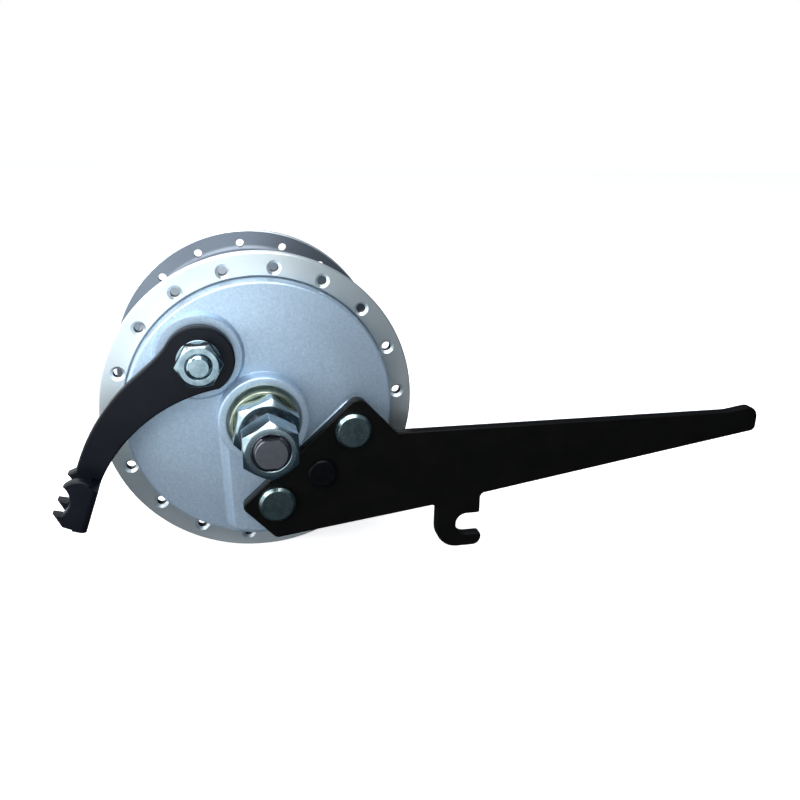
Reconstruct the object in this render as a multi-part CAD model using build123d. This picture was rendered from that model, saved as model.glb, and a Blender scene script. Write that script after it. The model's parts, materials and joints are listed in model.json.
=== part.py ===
from build123d import *
import math
import os

# Drum brake front hub, in millimetres.
# Each piece is drawn face on: x to the right, y up, z out of the brake side along the axle.
# stand_up() then turns it so the axle lies along world Y, with the brake side facing -Y and world Z up.
# The origin is the centre of the brake-side circle of spoke holes, on the flange's outer face.

# Clearances and general rounds
thread_clearance = 0.05        # radial, between a thread's crest and what is screwed or slid over it
running_clearance = 0.05       # radial, between a turning shaft and its bush or bore
rest_gap = 0.3                 # between faces of different bodies
hole_clearance = 0.1           # radial, round a steel rivet
lining_hole_clearance = 0.03   # radial, round a lining rivet
skirt_gap = 0.65               # radial, from the brake plate's skirt to the shell
skirt_end_gap = 0.7            # from the skirt's end to the bottom of the shell's mouth
overshoot = 1.0                # how far a cutter runs past the face it opens
turned_round = 0.4             # edges of turned steel
edge_round = 0.8               # edges of castings
cast_round = 3.0               # inner corners of castings

# Hub shell
flange_margin = 5.5            # from the circle of spoke holes out to the flange's edge
flange_thickness = 4.0
flange_spacing = 66.0          # between the outer faces of the two flanges
spoke_margin = 3.0             # from the flange's mouth to the circle of spoke holes
spoke_count = 18               # in each flange
spoke_hole_d = 3.4
spoke_sink_d = 5.4             # countersink at the flange's face
spoke_phase = 3.6              # degrees, the first hole of the brake-side flange
barrel_wall = 2.2              # over the brake drum's liner
end_wall = 6.0
end_face_d = 52.0              # flat at the top of the far end's cone
end_rise = 4.0
nose_d = 40.0
nose_length = 7.0              # from the far flange's face to the shell's far end
tube_d = 38.0                  # the bearing tube inside the shell
tube_bore_d = 24.0
rib_count = 6
rib_thickness = 3.0
rib_setback = 4.0              # from the drum to the ribs
rib_bury = 0.5

# Brake drum
drum_d = 90.0
drum_depth = 26.0
liner_wall = 2.0
liner_lip = 0.8                # from the bottom of the mouth to the liner's start
liner_seat = 1.0               # shoulder that the liner stands on
mouth_step = 2.0               # from the liner out to the wall of the mouth, the recess for the plate's skirt
mouth_depth = 2.2

# Bearings
ball_d = 6.35
least_ball_spacing = 0.6       # between balls side by side
ball_gap = 0.12                # between a ball and its races
cup_d = 30.0
cup_wall = 0.505               # behind the balls
cup_length = 9.5
cup_shoulder = 1.6             # from the ball circle in to the cup's bore
cup_setback = 4.0              # from the cup's open end to the ball centres
cone_shoulder = 0.7            # from the ball circle in to the cone's rim
cone_tail = 3.0                # past the ball centres
cap_thickness = 1.0
cap_gap = 0.5                  # radial, from the dust cap to the turning cone
bearing_mouth = -27.0          # open end of the brake-side cup
far_cone_proud = 2.1           # how far the far cone stands out of the shell

# Brake plate
plate_rim_z = 6.84
plate_rim_round = 1.3
plate_wall = 4.0
plate_root = 3.5               # the plate is thicker by this much at its hub
skirt_wall = 3.0
dome_mid_inset = 14.35         # from the plate's rim
dome_mid_z = 9.2
dome_top_z = 9.9
dome_round = 50.0
dome_inner_round = 30.0
boss_d = 32.4
boss_height = 7.1              # above the dome's top
boss_round = 1.6
recess_d = 26.0
recess_depth = 3.0
plate_hub_d = 28.0
plate_hub_end = -12.0
boss_bury = 2.0                # how far a boss or pad starts below the plate's rim

# Axle, its cup washer and its nuts
axle_d = 12.0
axle_proud = 1.7               # how far the axle stands out of its nuts
axle_chamfer = 0.7
axle_flats = 9.4               # across the two flats milled on either end, from the lock nut outwards
collar_d = 25.4                # cup washer in the plate's recess
collar_height = 7.0
collar_rim = 0.8
collar_rim_width = 1.2
nut_flats = 18.0               # axle nuts
nut_height = 10.8
fork_gap = 6.7                 # room for the fork end between lock nut and axle nut
lock_flats = 21.0              # lock nuts
lock_height = 8.8
far_lock_height = 6.0
far_washer_d = 21.0
far_washer_thickness = 1.5
nut_face_share = 0.95          # the flat end of a nut, as a share of its size across flats
nut_chamfer_angle = 30.0
nut_side_count = 6
axle_nut_turn = 31.0           # degrees, how each nut came to rest
lock_nut_turn = 19.5
far_axle_nut_turn = 12.0
far_lock_nut_turn = 4.0

# The cam and the anchor pin lie on one line through the axle
brake_angle = 133.5            # degrees from x to the cam
cam_inset = 13.7               # from the drum's face in to the cam
anchor_inset = 15.0            # from the drum's face in to the anchor pin
cam_boss_d = 31.0
cam_boss_face = 11.5
cam_boss_round = 1.2
cam_journal_d = 12.0
bush_wall = 2.0
bush_boss_wall = 3.5
cam_collar_d = 18.0
cam_collar_thickness = 4.5
cam_length = 13.0
cam_half_width = 4.0
cam_half_length = 5.0
cam_round = 0.6
cam_gap = 0.15                 # from the cam's flat to a shoe's foot
seat_flats = 8.6               # squared seat of the lever
seat_clearance = 0.05
seat_short = 0.3               # the seat ends this much below the lever's face
stud_d = 8.0
stud_proud = 1.2               # how far the stud stands out of its nut
stud_chamfer = 0.8
cam_nut_flats = 14.2
cam_nut_height = 6.2
cam_nut_turn = 2.0
cam_washer_d = 15.4
cam_washer_thickness = 1.2

# Brake lever: its outline has its origin at the cam's axis
lever_gap = 0.3                # from the cam's boss to the lever
lever_sheet = 4.2
lever_head_r = 12.2
lever_shoulder = (-11.45, 4.30)
lever_outer_start = (-16.05, -0.90)
lever_outer_mid = (-30.85, -14.80)
lever_neck = (-42.65, -37.30)
lever_inner_start = (6.55, -10.40)
lever_inner_mid = (-19.05, -21.80)
lever_bend_top = (-34.65, -41.90)    # the fold at the lever's end
lever_bend_foot = (-38.85, -54.50)
lever_toe = (-40.25, -56.00)
lever_heel = (-46.85, -53.10)
notch_upper = (-45.45, -38.50)       # tip of the tooth above the cable's notch
notch_deep = (-43.75, -44.00)        # bottom of the half-round notch
notch_lower = (-46.45, -48.50)
tooth_lower = (-49.45, -47.70)
tooth_root = (-47.85, -51.00)
wall_top_mid = (-40.05, -36.90)      # top edge of the lever's front wall
front_wall = 3.6
front_wall_gap = 6.6                 # room for the cable's barrel inside the fold

# Reaction arm: its head is square to the line of cam and anchor
arm_sheet = 4.0
arm_back = 12.0
arm_inner = 18.0                     # from the axle to the head's inner edge
arm_half_head = 29.7
arm_top_y = -8.0
arm_tail = (202.0, -5.8)
arm_tail_foot = (202.0, -16.8)
arm_tail_rise = 14.0                 # length over which the tail's top edge rises
arm_heel_y = -46.9
arm_foot_slope = 0.158               # rise of the lower edge for each millimetre to the right
arm_heel_slope = 0.133
arm_round = 2.5
arm_shoulder_round = 4.0
arm_rise_round = 20.0
tail_round = 4.5
hook_right_x = 82.8
hook_left_x = 65.2
hook_lip = (83.9, -57.6)
hook_lip_round = 3.4
hook_tip_round = 1.4
hook_heel_round = 9.0
hook_root_round = 2.0
slot_top_y = -43.7
slot_foot_y = -52.4
slot_end_x = 73.3
slot_round = 4.2
slot_edge_round = 0.8

# Rivets and anchor pin of the arm
rivet_r = 32.5                       # axle to rivet
rivet_spread = 36.5                  # degrees either side of the anchor pin
rivet_d = 8.0
rivet_head_d = 13.4
rivet_head = 3.0
rivet_bevel = 1.0
shop_head_d = 12.4
shop_head = 2.0
anchor_d = 10.0
anchor_button_d = 10.8
anchor_button = 1.8
anchor_button_round = 0.9
anchor_length = 40.0                 # below the arm's face
anchor_boss_d = 22.0
anchor_boss_drop = 1.5               # how far the anchor's boss stands below the plate's wall
pad_margin = 2.6                     # cast pad, past the arm's head
pad_length = 30.0                    # along the arm's head
pad_inset = 2.15                     # from the plate's rim
pad_chamfer = 0.8
web_top = (-16.2, -4.0)              # straight left edge of the pad's web
web_foot = (-12.4, -45.5)

# Brake shoes, drawn with the cam on +x and the anchor pin on -x
lining_gap = 0.7                     # to the drum, at rest
lining_thickness = 3.3
lining_from = 26.0                   # degrees from the cam
lining_to = 154.0
lining_rivet_d = 4.0
lining_rivet_sink = 1.0              # below the lining's face
lining_rivet_angles = (40, 65, 90, 115, 140)
lining_rivet_spacing = 13.75         # between the two rows
shoe_inset = 2.0                     # from either end of the drum to the shoe
table_thickness = 2.8
table_from = 20.0
table_to = 160.0
web_height = 13.2                    # of the shoe's web, under its table
web_thickness = 4.0
web_from = 4.0
web_to = 176.0
foot_height = 4.0
foot_width = 11.0
foot_half_length = 6.7
foot_web_height = 12.0
foot_web_round = 4.0
pin_eye_r = 9.5
pin_split = 0.8                      # half the gap between the two shoes at the pin

# Return springs
spring_x = {"cam_end": 18.0, "anchor_end": -15.0}
spring_wire = 1.2
spring_r = 2.7
spring_turns = 10
spring_pitch = 1.9
spring_lead = 8.0                    # from the coil to its straight leg
spring_depth = 4.0                   # from the shoe's web to the middle of the coil
spring_eye_inset = 10.7              # from the shoe's table
spring_eye_d = 2.6
spring_tail = 9.0                    # the leg's bent end, through the shoe's web
spring_bend = 1.8

# Places along the axle, worked out from the sizes above
far_face = -flange_spacing
nose = far_face - nose_length
drum_end = -mouth_depth - drum_depth
boss_face = dome_top_z + boss_height
recess_floor = boss_face - recess_depth
collar_face = recess_floor + collar_height
lock_seat = collar_face - collar_rim
lock_face = lock_seat + lock_height
axle_nut_seat = lock_face + fork_gap
axle_nut_face = axle_nut_seat + nut_height
axle_tip = axle_nut_face + axle_proud
far_washer_seat = nose - far_cone_proud
far_lock_seat = far_washer_seat - far_washer_thickness
far_lock_face = far_lock_seat - far_lock_height
far_nut_seat = far_lock_face - fork_gap
far_nut_face = far_nut_seat - nut_height
far_tip = far_nut_face - axle_proud
shoe_start = -mouth_depth - shoe_inset
shoe_end = drum_end + shoe_inset
shoe_middle = (shoe_start + shoe_end) / 2
web_start = shoe_middle + web_thickness / 2
web_end = shoe_middle - web_thickness / 2
cam_start = shoe_middle + cam_length / 2
cam_end = shoe_middle - cam_length / 2
bush_end = cam_start + cam_collar_thickness + rest_gap
lever_back = cam_boss_face + lever_gap
lever_front = lever_back + lever_sheet
cam_nut_seat = lever_front + cam_washer_thickness
cam_nut_face = cam_nut_seat + cam_nut_height
stud_tip = cam_nut_face + stud_proud
arm_front = arm_back + arm_sheet
wall_floor = dome_mid_z - plate_wall

# Radii, worked out from the sizes above
axle_bore = axle_d / 2 + thread_clearance
liner_outer = drum_d / 2 + liner_wall
barrel_r = liner_outer + barrel_wall
mouth_r = liner_outer + mouth_step
spoke_circle_r = mouth_r + spoke_margin
flange_r = spoke_circle_r + flange_margin
plate_rim_r = mouth_r - skirt_gap
dome_mid_r = plate_rim_r - dome_mid_inset
pad_reach = plate_rim_r - pad_inset
cam_r = drum_d / 2 - cam_inset
anchor_r = drum_d / 2 - anchor_inset
lining_r = drum_d / 2 - lining_gap
table_r = lining_r - lining_thickness
table_inner = table_r - table_thickness
web_r = table_inner - web_height
spring_eye_y = table_inner - spring_eye_inset
groove_r = ball_d / 2 + ball_gap
ball_circle_r = cup_d / 2 - cup_wall - groove_r
ball_count = int(2 * math.pi * ball_circle_r / (ball_d + least_ball_spacing))


def stand_up(piece):
    return Plane.XZ.location * piece


def write(piece, name):
    export_step(stand_up(piece), f"parts/{name}.step")


def outline(*corners):
    # A closed face through corners, each x, y and the radius that rounds it.
    path = FilletPolyline(*[c[:2] for c in corners], radius=[c[2] for c in corners], close=True)
    return make_face(path)


def turned(*corners):
    # A body turned about the axle from corners in radius, height and rounding radius.
    return revolve(Plane.XZ * outline(*corners), Axis.Z)


def slab(face, low, high):
    return extrude(Pos(0, 0, low) * face, high - low)


def rod(radius, low, high, x=0.0, y=0.0):
    return Pos(x, y, low) * Cylinder(radius, high - low, align=(Align.CENTER, Align.CENTER, Align.MIN))


def polar(radius, degrees):
    angle = math.radians(degrees)
    return radius * math.cos(angle), radius * math.sin(angle)


cam_x, cam_y = polar(cam_r, brake_angle)
anchor_angle = brake_angle - 180
anchor_x, anchor_y = polar(anchor_r, anchor_angle)
rivet_places = [polar(rivet_r, anchor_angle + side * rivet_spread) for side in (-1, 1)]


def head_point(along, across):
    # A point of the arm's head: along the line from axle to anchor pin, and across it.
    ux, uy = polar(1, anchor_angle)
    return along * ux - across * uy, along * uy + across * ux


def spoke_holes(face_z, direction, phase):
    # Drills and countersinks for one flange; direction is +1 where its outer face looks along +z.
    sink_depth = (spoke_sink_d - spoke_hole_d) / 2
    ends = sorted((face_z + direction * overshoot, face_z - direction * (flange_thickness + overshoot)))
    sink = Cone(spoke_hole_d / 2, spoke_sink_d / 2, sink_depth, align=(Align.CENTER, Align.CENTER, Align.MAX))
    drills = []
    for number in range(spoke_count):
        x, y = polar(spoke_circle_r, phase + number * 360 / spoke_count)
        drills.append(rod(spoke_hole_d / 2, *ends, x, y))
        drills.append(Pos(x, y, face_z) * Rot(90 - 90 * direction, 0, 0) * sink)
    return drills


def hub_shell():
    # Two flanges on one barrel, open towards the brake, with the bearing tube down its middle.
    cup_r, tube_r = cup_d / 2, tube_d / 2
    far_inner = far_face + flange_thickness
    end_face = far_face - end_rise
    wall_in = far_face + end_wall
    seat_r = liner_outer - liner_seat
    body = turned(
        (mouth_r, 0, 0), (flange_r, 0, edge_round), (flange_r, -flange_thickness, edge_round),
        (barrel_r, -flange_thickness, turned_round), (barrel_r, far_inner, turned_round),
        (flange_r, far_inner, edge_round), (flange_r, far_face, edge_round), (liner_outer, far_face, 1),
        (end_face_d / 2, end_face, cast_round), (nose_d / 2, end_face, 1), (nose_d / 2, nose, edge_round),
        (cup_r, nose, 0), (cup_r, nose + cup_length, 0), (tube_bore_d / 2, nose + cup_length, 0),
        (tube_bore_d / 2, bearing_mouth - cup_length, 0), (cup_r, bearing_mouth - cup_length, 0),
        (cup_r, bearing_mouth, 0), (tube_r, bearing_mouth, turned_round), (tube_r, wall_in, cast_round),
        (seat_r, wall_in, cast_round), (seat_r, drum_end, 0), (liner_outer, drum_end, 0),
        (liner_outer, -mouth_depth, 0), (mouth_r, -mouth_depth, 0),
    )
    rib_from, rib_to = tube_r - rib_bury, seat_r + rib_bury
    rib_low = wall_in - rib_bury
    rib = Pos(rib_from, 0, rib_low) * Box(
        rib_to - rib_from, rib_thickness, drum_end - rib_setback - rib_low,
        align=(Align.MIN, Align.CENTER, Align.MIN))
    for number in range(rib_count):
        body += Rot(0, 0, number * 360 / rib_count) * rib
    body -= spoke_holes(0, 1, spoke_phase)
    body -= spoke_holes(far_face, -1, spoke_phase + 180 / spoke_count)
    return body


def drum_liner():
    start = -mouth_depth - liner_lip
    return turned((drum_d / 2, start, turned_round), (liner_outer, start, 0), (liner_outer, drum_end, 0),
                  (drum_d / 2, drum_end, 0))


def bearing(cone_end):
    # Cup, balls, cone and cap of the brake-side bearing; cone_end is the cone's outer end.
    ball_z = bearing_mouth - cup_setback
    groove = Pos(0, 0, ball_z) * Torus(ball_circle_r, groove_r)
    cup_low, cup_bore = bearing_mouth - cup_length, ball_circle_r - cup_shoulder
    cup = turned((cup_bore, cup_low, 0), (cup_d / 2, cup_low, turned_round),
                 (cup_d / 2, bearing_mouth, turned_round), (cup_bore, bearing_mouth, 0))
    cup -= groove
    cup -= rod(ball_circle_r + groove_r, ball_z, bearing_mouth + overshoot)
    balls = []
    for number in range(ball_count):
        balls.append(Pos(*polar(ball_circle_r, number * 360 / ball_count), ball_z) * Sphere(ball_d / 2))
    cone_r, neck_r, cone_low = ball_circle_r - cone_shoulder, ball_circle_r - groove_r, ball_z - cone_tail
    neck_round = min(turned_round, (neck_r - axle_bore) / 2)
    cone = turned((axle_bore, cone_low, 0), (neck_r, cone_low, neck_round), (neck_r, ball_z, 0),
                  (cone_r, ball_z + groove_r, 0), (cone_r, cone_end, turned_round), (axle_bore, cone_end, 0))
    cone -= groove
    cap_bore, cap_face = cone_r + cap_gap, bearing_mouth + cap_thickness
    cap = turned((cap_bore, bearing_mouth, 0), (tube_d / 2, bearing_mouth, 0),
                 (tube_d / 2, cap_face, turned_round), (cap_bore, cap_face, 0))
    return {"bearing_cup": cup, "bearing_balls": Compound(balls), "bearing_cone": cone, "dust_cap": cap}


def nut(flats, low, high, bore, turn):
    # A hexagon nut whose corners are turned off at both ends.
    corner_r = flats / 2 / math.cos(math.pi / nut_side_count)
    face_r = nut_face_share * flats / 2
    drop = (corner_r - face_r) * math.tan(math.radians(nut_chamfer_angle))
    hexagon = RegularPolygon(flats / 2, nut_side_count, major_radius=False, rotation=turn)
    blank = turned((bore, low, 0), (face_r, low, 0), (corner_r, low + drop, 0), (corner_r, high - drop, 0),
                   (face_r, high, 0), (bore, high, 0))
    return blank & slab(hexagon, low, high)


def axle():
    # A threaded bar with two flats at either end for the fork ends' slots.
    bar = rod(axle_d / 2, far_tip, axle_tip)
    bar = chamfer(bar.edges().filter_by(GeomType.CIRCLE), axle_chamfer)
    milled = Rectangle(axle_d, axle_flats)
    return bar & (slab(milled, far_tip, far_lock_face) + rod(axle_d, far_lock_face, lock_face)
                  + slab(milled, lock_face, axle_tip))


def collar():
    # The cup washer: a rim round the face that the lock nut bears on.
    outer = collar_d / 2
    inner = outer - collar_rim_width
    return turned((axle_bore, recess_floor, 0), (outer, recess_floor, turned_round),
                  (outer, collar_face, turned_round), (inner, collar_face, turned_round / 2),
                  (inner, lock_seat, turned_round / 2), (axle_bore, lock_seat, 0))


def far_washer():
    outer = far_washer_d / 2
    return turned((axle_bore, far_lock_seat, 0), (outer, far_lock_seat, turned_round),
                  (outer, far_washer_seat, turned_round), (axle_bore, far_washer_seat, 0))


def pad_face():
    # The cast pad behind the arm's head, with a straight web running down its left side.
    low = arm_inner - pad_margin
    high = low + pad_margin + pad_length
    half = arm_half_head + pad_margin
    head = make_face(Polyline(head_point(low, -half), head_point(low, half), head_point(high, half),
                              head_point(high, -half), close=True))
    web = make_face(Polyline(web_top, (0, 0), head_point(high, 0), web_foot, close=True))
    return (head + web) & Circle(pad_reach)


def brake_plate():
    # A domed casting with a hub for the axle, bosses for cam and anchor pin, and the arm's pad.
    boss_r, hub_r, skirt_r = boss_d / 2, plate_hub_d / 2, plate_rim_r - skirt_wall
    skirt_end = -mouth_depth + skirt_end_gap
    inner_rim = plate_rim_z - plate_wall
    root = dome_top_z - plate_wall - plate_root
    bush_r = cam_journal_d / 2 + bush_wall
    plate = turned(
        (plate_rim_r, skirt_end, 0), (plate_rim_r, plate_rim_z, plate_rim_round),
        (dome_mid_r, dome_mid_z, dome_round), (boss_r, dome_top_z, boss_round),
        (boss_r, boss_face, boss_round), (recess_d / 2, boss_face, turned_round),
        (recess_d / 2, recess_floor, 0), (axle_bore, recess_floor, 0), (axle_bore, plate_hub_end, 0),
        (hub_r, plate_hub_end, edge_round), (hub_r, root, edge_round),
        (dome_mid_r, wall_floor, dome_inner_round), (skirt_r, inner_rim, edge_round), (skirt_r, skirt_end, 0))
    cam_boss = rod(cam_boss_d / 2, plate_rim_z - boss_bury, cam_boss_face, cam_x, cam_y)
    plate += fillet(cam_boss.edges().group_by(Axis.Z)[-1], cam_boss_round)
    plate += rod(bush_r + bush_boss_wall, bush_end, plate_rim_z, cam_x, cam_y)
    pad = slab(pad_face(), plate_rim_z - boss_bury, arm_back)
    plate += chamfer(pad.edges().group_by(Axis.Z)[-1], pad_chamfer)
    plate += rod(anchor_boss_d / 2, wall_floor - anchor_boss_drop, plate_rim_z, anchor_x, anchor_y)
    plate -= rod(bush_r, bush_end - overshoot, cam_boss_face + overshoot, cam_x, cam_y)
    plate -= rod(anchor_d / 2, plate_hub_end, arm_back + overshoot, anchor_x, anchor_y)
    for x, y in rivet_places:
        plate -= rod(rivet_d / 2 + hole_clearance, plate_hub_end, arm_back + overshoot, x, y)
        plate -= rod(shop_head_d / 2 + hole_clearance, plate_hub_end, wall_floor, x, y)
    plate -= rod(recess_d / 2, recess_floor, boss_face + overshoot)
    return plate - rod(axle_bore, plate_hub_end - overshoot, recess_floor + overshoot)


def cam_bush():
    journal_r = cam_journal_d / 2
    ring = Circle(journal_r + bush_wall) - Circle(journal_r + running_clearance)
    return Pos(cam_x, cam_y, 0) * slab(ring, bush_end, cam_boss_face)


def seat_square(flats):
    return Rot(0, 0, brake_angle) * Rectangle(flats, flats)


def cam_spindle():
    # Cam block inside, collar, journal in the bush, squared seat for the lever, then the threaded stud.
    cam = RectangleRounded(2 * cam_half_length, 2 * cam_half_width, cam_round)
    seat = seat_square(seat_flats) & Circle(cam_journal_d / 2)
    body = slab(Rot(0, 0, brake_angle) * cam, cam_end, cam_start)
    body += rod(cam_collar_d / 2, cam_start, bush_end - rest_gap)
    body += rod(cam_journal_d / 2, cam_start, cam_boss_face)
    body += slab(seat, cam_boss_face, lever_front - seat_short)
    stud = rod(stud_d / 2, cam_boss_face, stud_tip)
    body += chamfer(stud.edges().group_by(Axis.Z)[-1], stud_chamfer)
    return Pos(cam_x, cam_y, 0) * body


def lever_end(*above):
    # The lever's end below its neck: two teeth either side of the half-round notch for the cable's barrel.
    edges = [
        ThreePointArc(notch_upper, notch_deep, notch_lower), Line(notch_lower, tooth_lower),
        Line(tooth_lower, tooth_root), Line(tooth_root, lever_heel), Line(lever_heel, lever_toe),
        Line(lever_toe, lever_bend_foot), Line(lever_bend_foot, lever_bend_top),
    ]
    return make_face(edges + list(above))


def inside_fold(point, along):
    # A point one sheet thickness in from the fold, moved along it.
    run = Vector(*lever_bend_top) - Vector(*lever_bend_foot)
    run = run.normalized()
    return point[0] - run.Y * lever_sheet + run.X * along, point[1] + run.X * lever_sheet + run.Y * along


def brake_lever():
    # A curved flat lever whose end is folded back on itself to hold the cable's barrel.
    blank = lever_end(
        ThreePointArc(lever_bend_top, lever_inner_mid, lever_inner_start), Line(lever_inner_start, (0, 0)),
        Line((0, 0), lever_shoulder), Line(lever_shoulder, lever_outer_start),
        ThreePointArc(lever_outer_start, lever_outer_mid, lever_neck), Line(lever_neck, notch_upper))
    fold = lever_end(ThreePointArc(lever_bend_top, wall_top_mid, notch_upper))
    wall_back = lever_front + front_wall_gap
    body = slab(blank + Circle(lever_head_r), lever_back, lever_front)
    body += slab(fold, lever_front, wall_back + front_wall)
    past = lever_head_r
    outside_x = tooth_lower[0] - past
    channel = make_face(Polyline(
        inside_fold(lever_bend_top, past), inside_fold(lever_bend_foot, -past),
        (outside_x, lever_toe[1] - past), (outside_x, notch_upper[1] + past), close=True))
    body -= slab(channel, lever_front, wall_back)
    seat_hole = seat_square(seat_flats + 2 * seat_clearance)
    body -= slab(seat_hole, lever_back - overshoot, lever_front + overshoot)
    return Pos(cam_x, cam_y, 0) * body


def cam_washer():
    ring = Circle(cam_washer_d / 2) - Circle(stud_d / 2 + thread_clearance)
    return Pos(cam_x, cam_y, 0) * slab(ring, lever_front, cam_nut_seat)


def cam_nut():
    piece = nut(cam_nut_flats, cam_nut_seat, cam_nut_face, stud_d / 2 + thread_clearance, cam_nut_turn)
    return Pos(cam_x, cam_y, 0) * piece


def arm_face():
    # Head square to the brake's line, long tail to the right, and the hook that holds the cable's stop.
    heel = head_point(arm_inner, -arm_half_head)
    shoulder = head_point(arm_inner, arm_half_head)
    ux, uy = polar(1, anchor_angle)
    top_x = shoulder[0] + ux * (arm_top_y - shoulder[1]) / uy
    heel_x = heel[0] + ux * (arm_heel_y - heel[1]) / uy
    foot_y = arm_tail_foot[1] - (arm_tail_foot[0] - hook_right_x) * arm_foot_slope
    hook_left_y = arm_heel_y + (hook_left_x - heel_x) * arm_heel_slope
    return outline(
        (*heel, arm_round), (*shoulder, arm_shoulder_round), (top_x, arm_top_y, arm_round),
        (arm_tail[0] - arm_tail_rise, arm_top_y, arm_rise_round), (*arm_tail, tail_round),
        (*arm_tail_foot, arm_round), (hook_right_x, foot_y, hook_root_round),
        (hook_right_x, slot_top_y, slot_edge_round), (slot_end_x, slot_top_y, slot_round),
        (slot_end_x, slot_foot_y, slot_round), (hook_lip[0], slot_foot_y, hook_tip_round),
        (*hook_lip, hook_lip_round), (hook_left_x, hook_lip[1], hook_heel_round),
        (hook_left_x, hook_left_y, hook_root_round), (heel_x, arm_heel_y, arm_round))


def reaction_arm():
    holes = Pos(anchor_x, anchor_y) * Circle(anchor_d / 2 + hole_clearance)
    for x, y in rivet_places:
        holes += Pos(x, y) * Circle(rivet_d / 2 + hole_clearance)
    return slab(arm_face() - holes, arm_back, arm_front)


def arm_rivets():
    shop_end, head_end = wall_floor - shop_head, arm_front + rivet_head
    shop_r, shank_r, head_r = shop_head_d / 2, rivet_d / 2, rivet_head_d / 2
    rivet = turned((0, shop_end, 0), (shop_r, shop_end, edge_round), (shop_r, wall_floor, 0),
                   (shank_r, wall_floor, 0), (shank_r, arm_front, 0), (head_r, arm_front, 0),
                   (head_r, head_end - rivet_bevel, 0), (head_r - rivet_bevel, head_end, 0), (0, head_end, 0))
    return Compound([Pos(x, y, 0) * rivet for x, y in rivet_places])


def anchor_pin():
    pin_r, button_r = anchor_d / 2, anchor_button_d / 2
    low, high = arm_front - anchor_length, arm_front + anchor_button
    pin = turned((0, low, 0), (pin_r, low, edge_round), (pin_r, arm_front, 0), (button_r, arm_front, 0),
                 (button_r, high, anchor_button_round), (0, high, 0))
    return Pos(anchor_x, anchor_y, 0) * pin


def sector(inner, outer, start, end):
    reach = outer * 2
    middle = (start + end) / 2
    rim = [polar(reach, angle) for angle in (start, middle, end)]
    return (Circle(outer) - Circle(inner)) & make_face(Polyline((0, 0), *rim, close=True))


def lining_rivet_places():
    # Where each lining rivet stands on the table's inner face, pointing outwards.
    places = []
    for angle in lining_rivet_angles:
        for side in (-1, 1):
            z = shoe_middle + side * lining_rivet_spacing / 2
            places.append(Rot(0, 0, angle) * Pos(table_inner, 0, z) * Rot(0, 90, 0))
    return places


def lining_rivet(radius, length):
    return Cylinder(radius, length, align=(Align.CENTER, Align.CENTER, Align.MIN))


def shoe():
    # A cast shoe of T section: a curved table on a flat web, a foot at the cam, a half eye at the anchor pin.
    foot_y = cam_half_width + cam_gap
    foot_from, foot_to = cam_r - foot_half_length, cam_r + foot_half_length
    pin = Pos(-anchor_r, 0)
    web = sector(web_r, table_inner + table_thickness / 4, web_from, web_to) + pin * Circle(pin_eye_r)
    web += outline((foot_from, 0, 0), (foot_to, 0, 0), (foot_to, foot_web_height, turned_round),
                   (foot_from, foot_web_height, foot_web_round))
    web &= Pos(0, pin_split) * Rectangle(2 * drum_d, drum_d, align=(Align.CENTER, Align.MIN))
    web -= pin * Circle(anchor_d / 2 + running_clearance)
    web -= Rectangle(drum_d, 2 * foot_y, align=(Align.MIN, Align.CENTER))
    for x in spring_x.values():
        web -= Pos(x, spring_eye_y) * Circle(spring_eye_d / 2)
    body = slab(sector(table_inner, table_r, table_from, table_to), shoe_end, shoe_start)
    body += slab(web, web_end, web_start)
    body += Pos(cam_r, foot_y, shoe_middle) * Box(
        2 * foot_half_length, foot_height, foot_width, align=(Align.CENTER, Align.MIN, Align.CENTER))
    return body - lining_rivet_holes()


def lining_rivet_holes():
    length = table_thickness + lining_thickness + overshoot
    hole = lining_rivet(lining_rivet_d / 2 + lining_hole_clearance, length)
    return [place * Pos(0, 0, -overshoot / 2) * hole for place in lining_rivet_places()]


def lining():
    band = sector(table_r, lining_r, lining_from, lining_to)
    return slab(band, shoe_end, shoe_start) - lining_rivet_holes()


def lining_rivets():
    rivet = lining_rivet(lining_rivet_d / 2, table_thickness + lining_thickness - lining_rivet_sink)
    return Compound([place * rivet for place in lining_rivet_places()])


def biarc(start, start_way, end, end_way):
    # Two arcs that leave start and reach end along the given directions.
    chord = end - start
    ways = start_way + end_way
    spread = 2 * (1 - start_way.dot(end_way))
    reach = (math.sqrt(chord.dot(ways) ** 2 + spread * chord.dot(chord)) - chord.dot(ways)) / spread
    middle = (start + end + (start_way - end_way) * reach) * 0.5
    return [TangentArc(start, middle, tangent=start_way), TangentArc(end, middle, tangent=end_way * -1)]


def coil_point(quarters):
    # A point of the spring's coil and its direction, after a number of quarter turns.
    angle = quarters * math.pi / 2
    rise = spring_pitch / 4
    y = (quarters - spring_turns * 2) * rise
    swing = spring_r * math.pi / 2
    point = Vector(spring_r * math.cos(angle), y, spring_r * math.sin(angle))
    return point, Vector(-swing * math.sin(angle), rise, swing * math.cos(angle)).normalized()


def spring_leg(point, way, side):
    # From the coil's end to a straight leg along y, then bent towards the web through its eye.
    start = Vector(point.X, point.Y + side * spring_lead, 0)
    eye = Vector(point.X, side * spring_eye_y, 0)
    leg = FilletPolyline(start, eye, eye + Vector(0, 0, spring_tail), radius=spring_bend)
    return biarc(point, way, start, Vector(0, side, 0)) + list(leg.edges())


def least_gap(path):
    # The least distance between points of the coil that are half a turn or more apart, less the wire.
    turn_point_count = 24
    steps = round(path.length / (2 * math.pi * spring_r) * turn_point_count)
    points = [path.position_at(step / steps) for step in range(steps + 1)]
    gaps = []
    for number, point in enumerate(points):
        gaps += [(point - other).length for other in points[number + turn_point_count // 2:]]
    return min(gaps) - spring_wire


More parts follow.
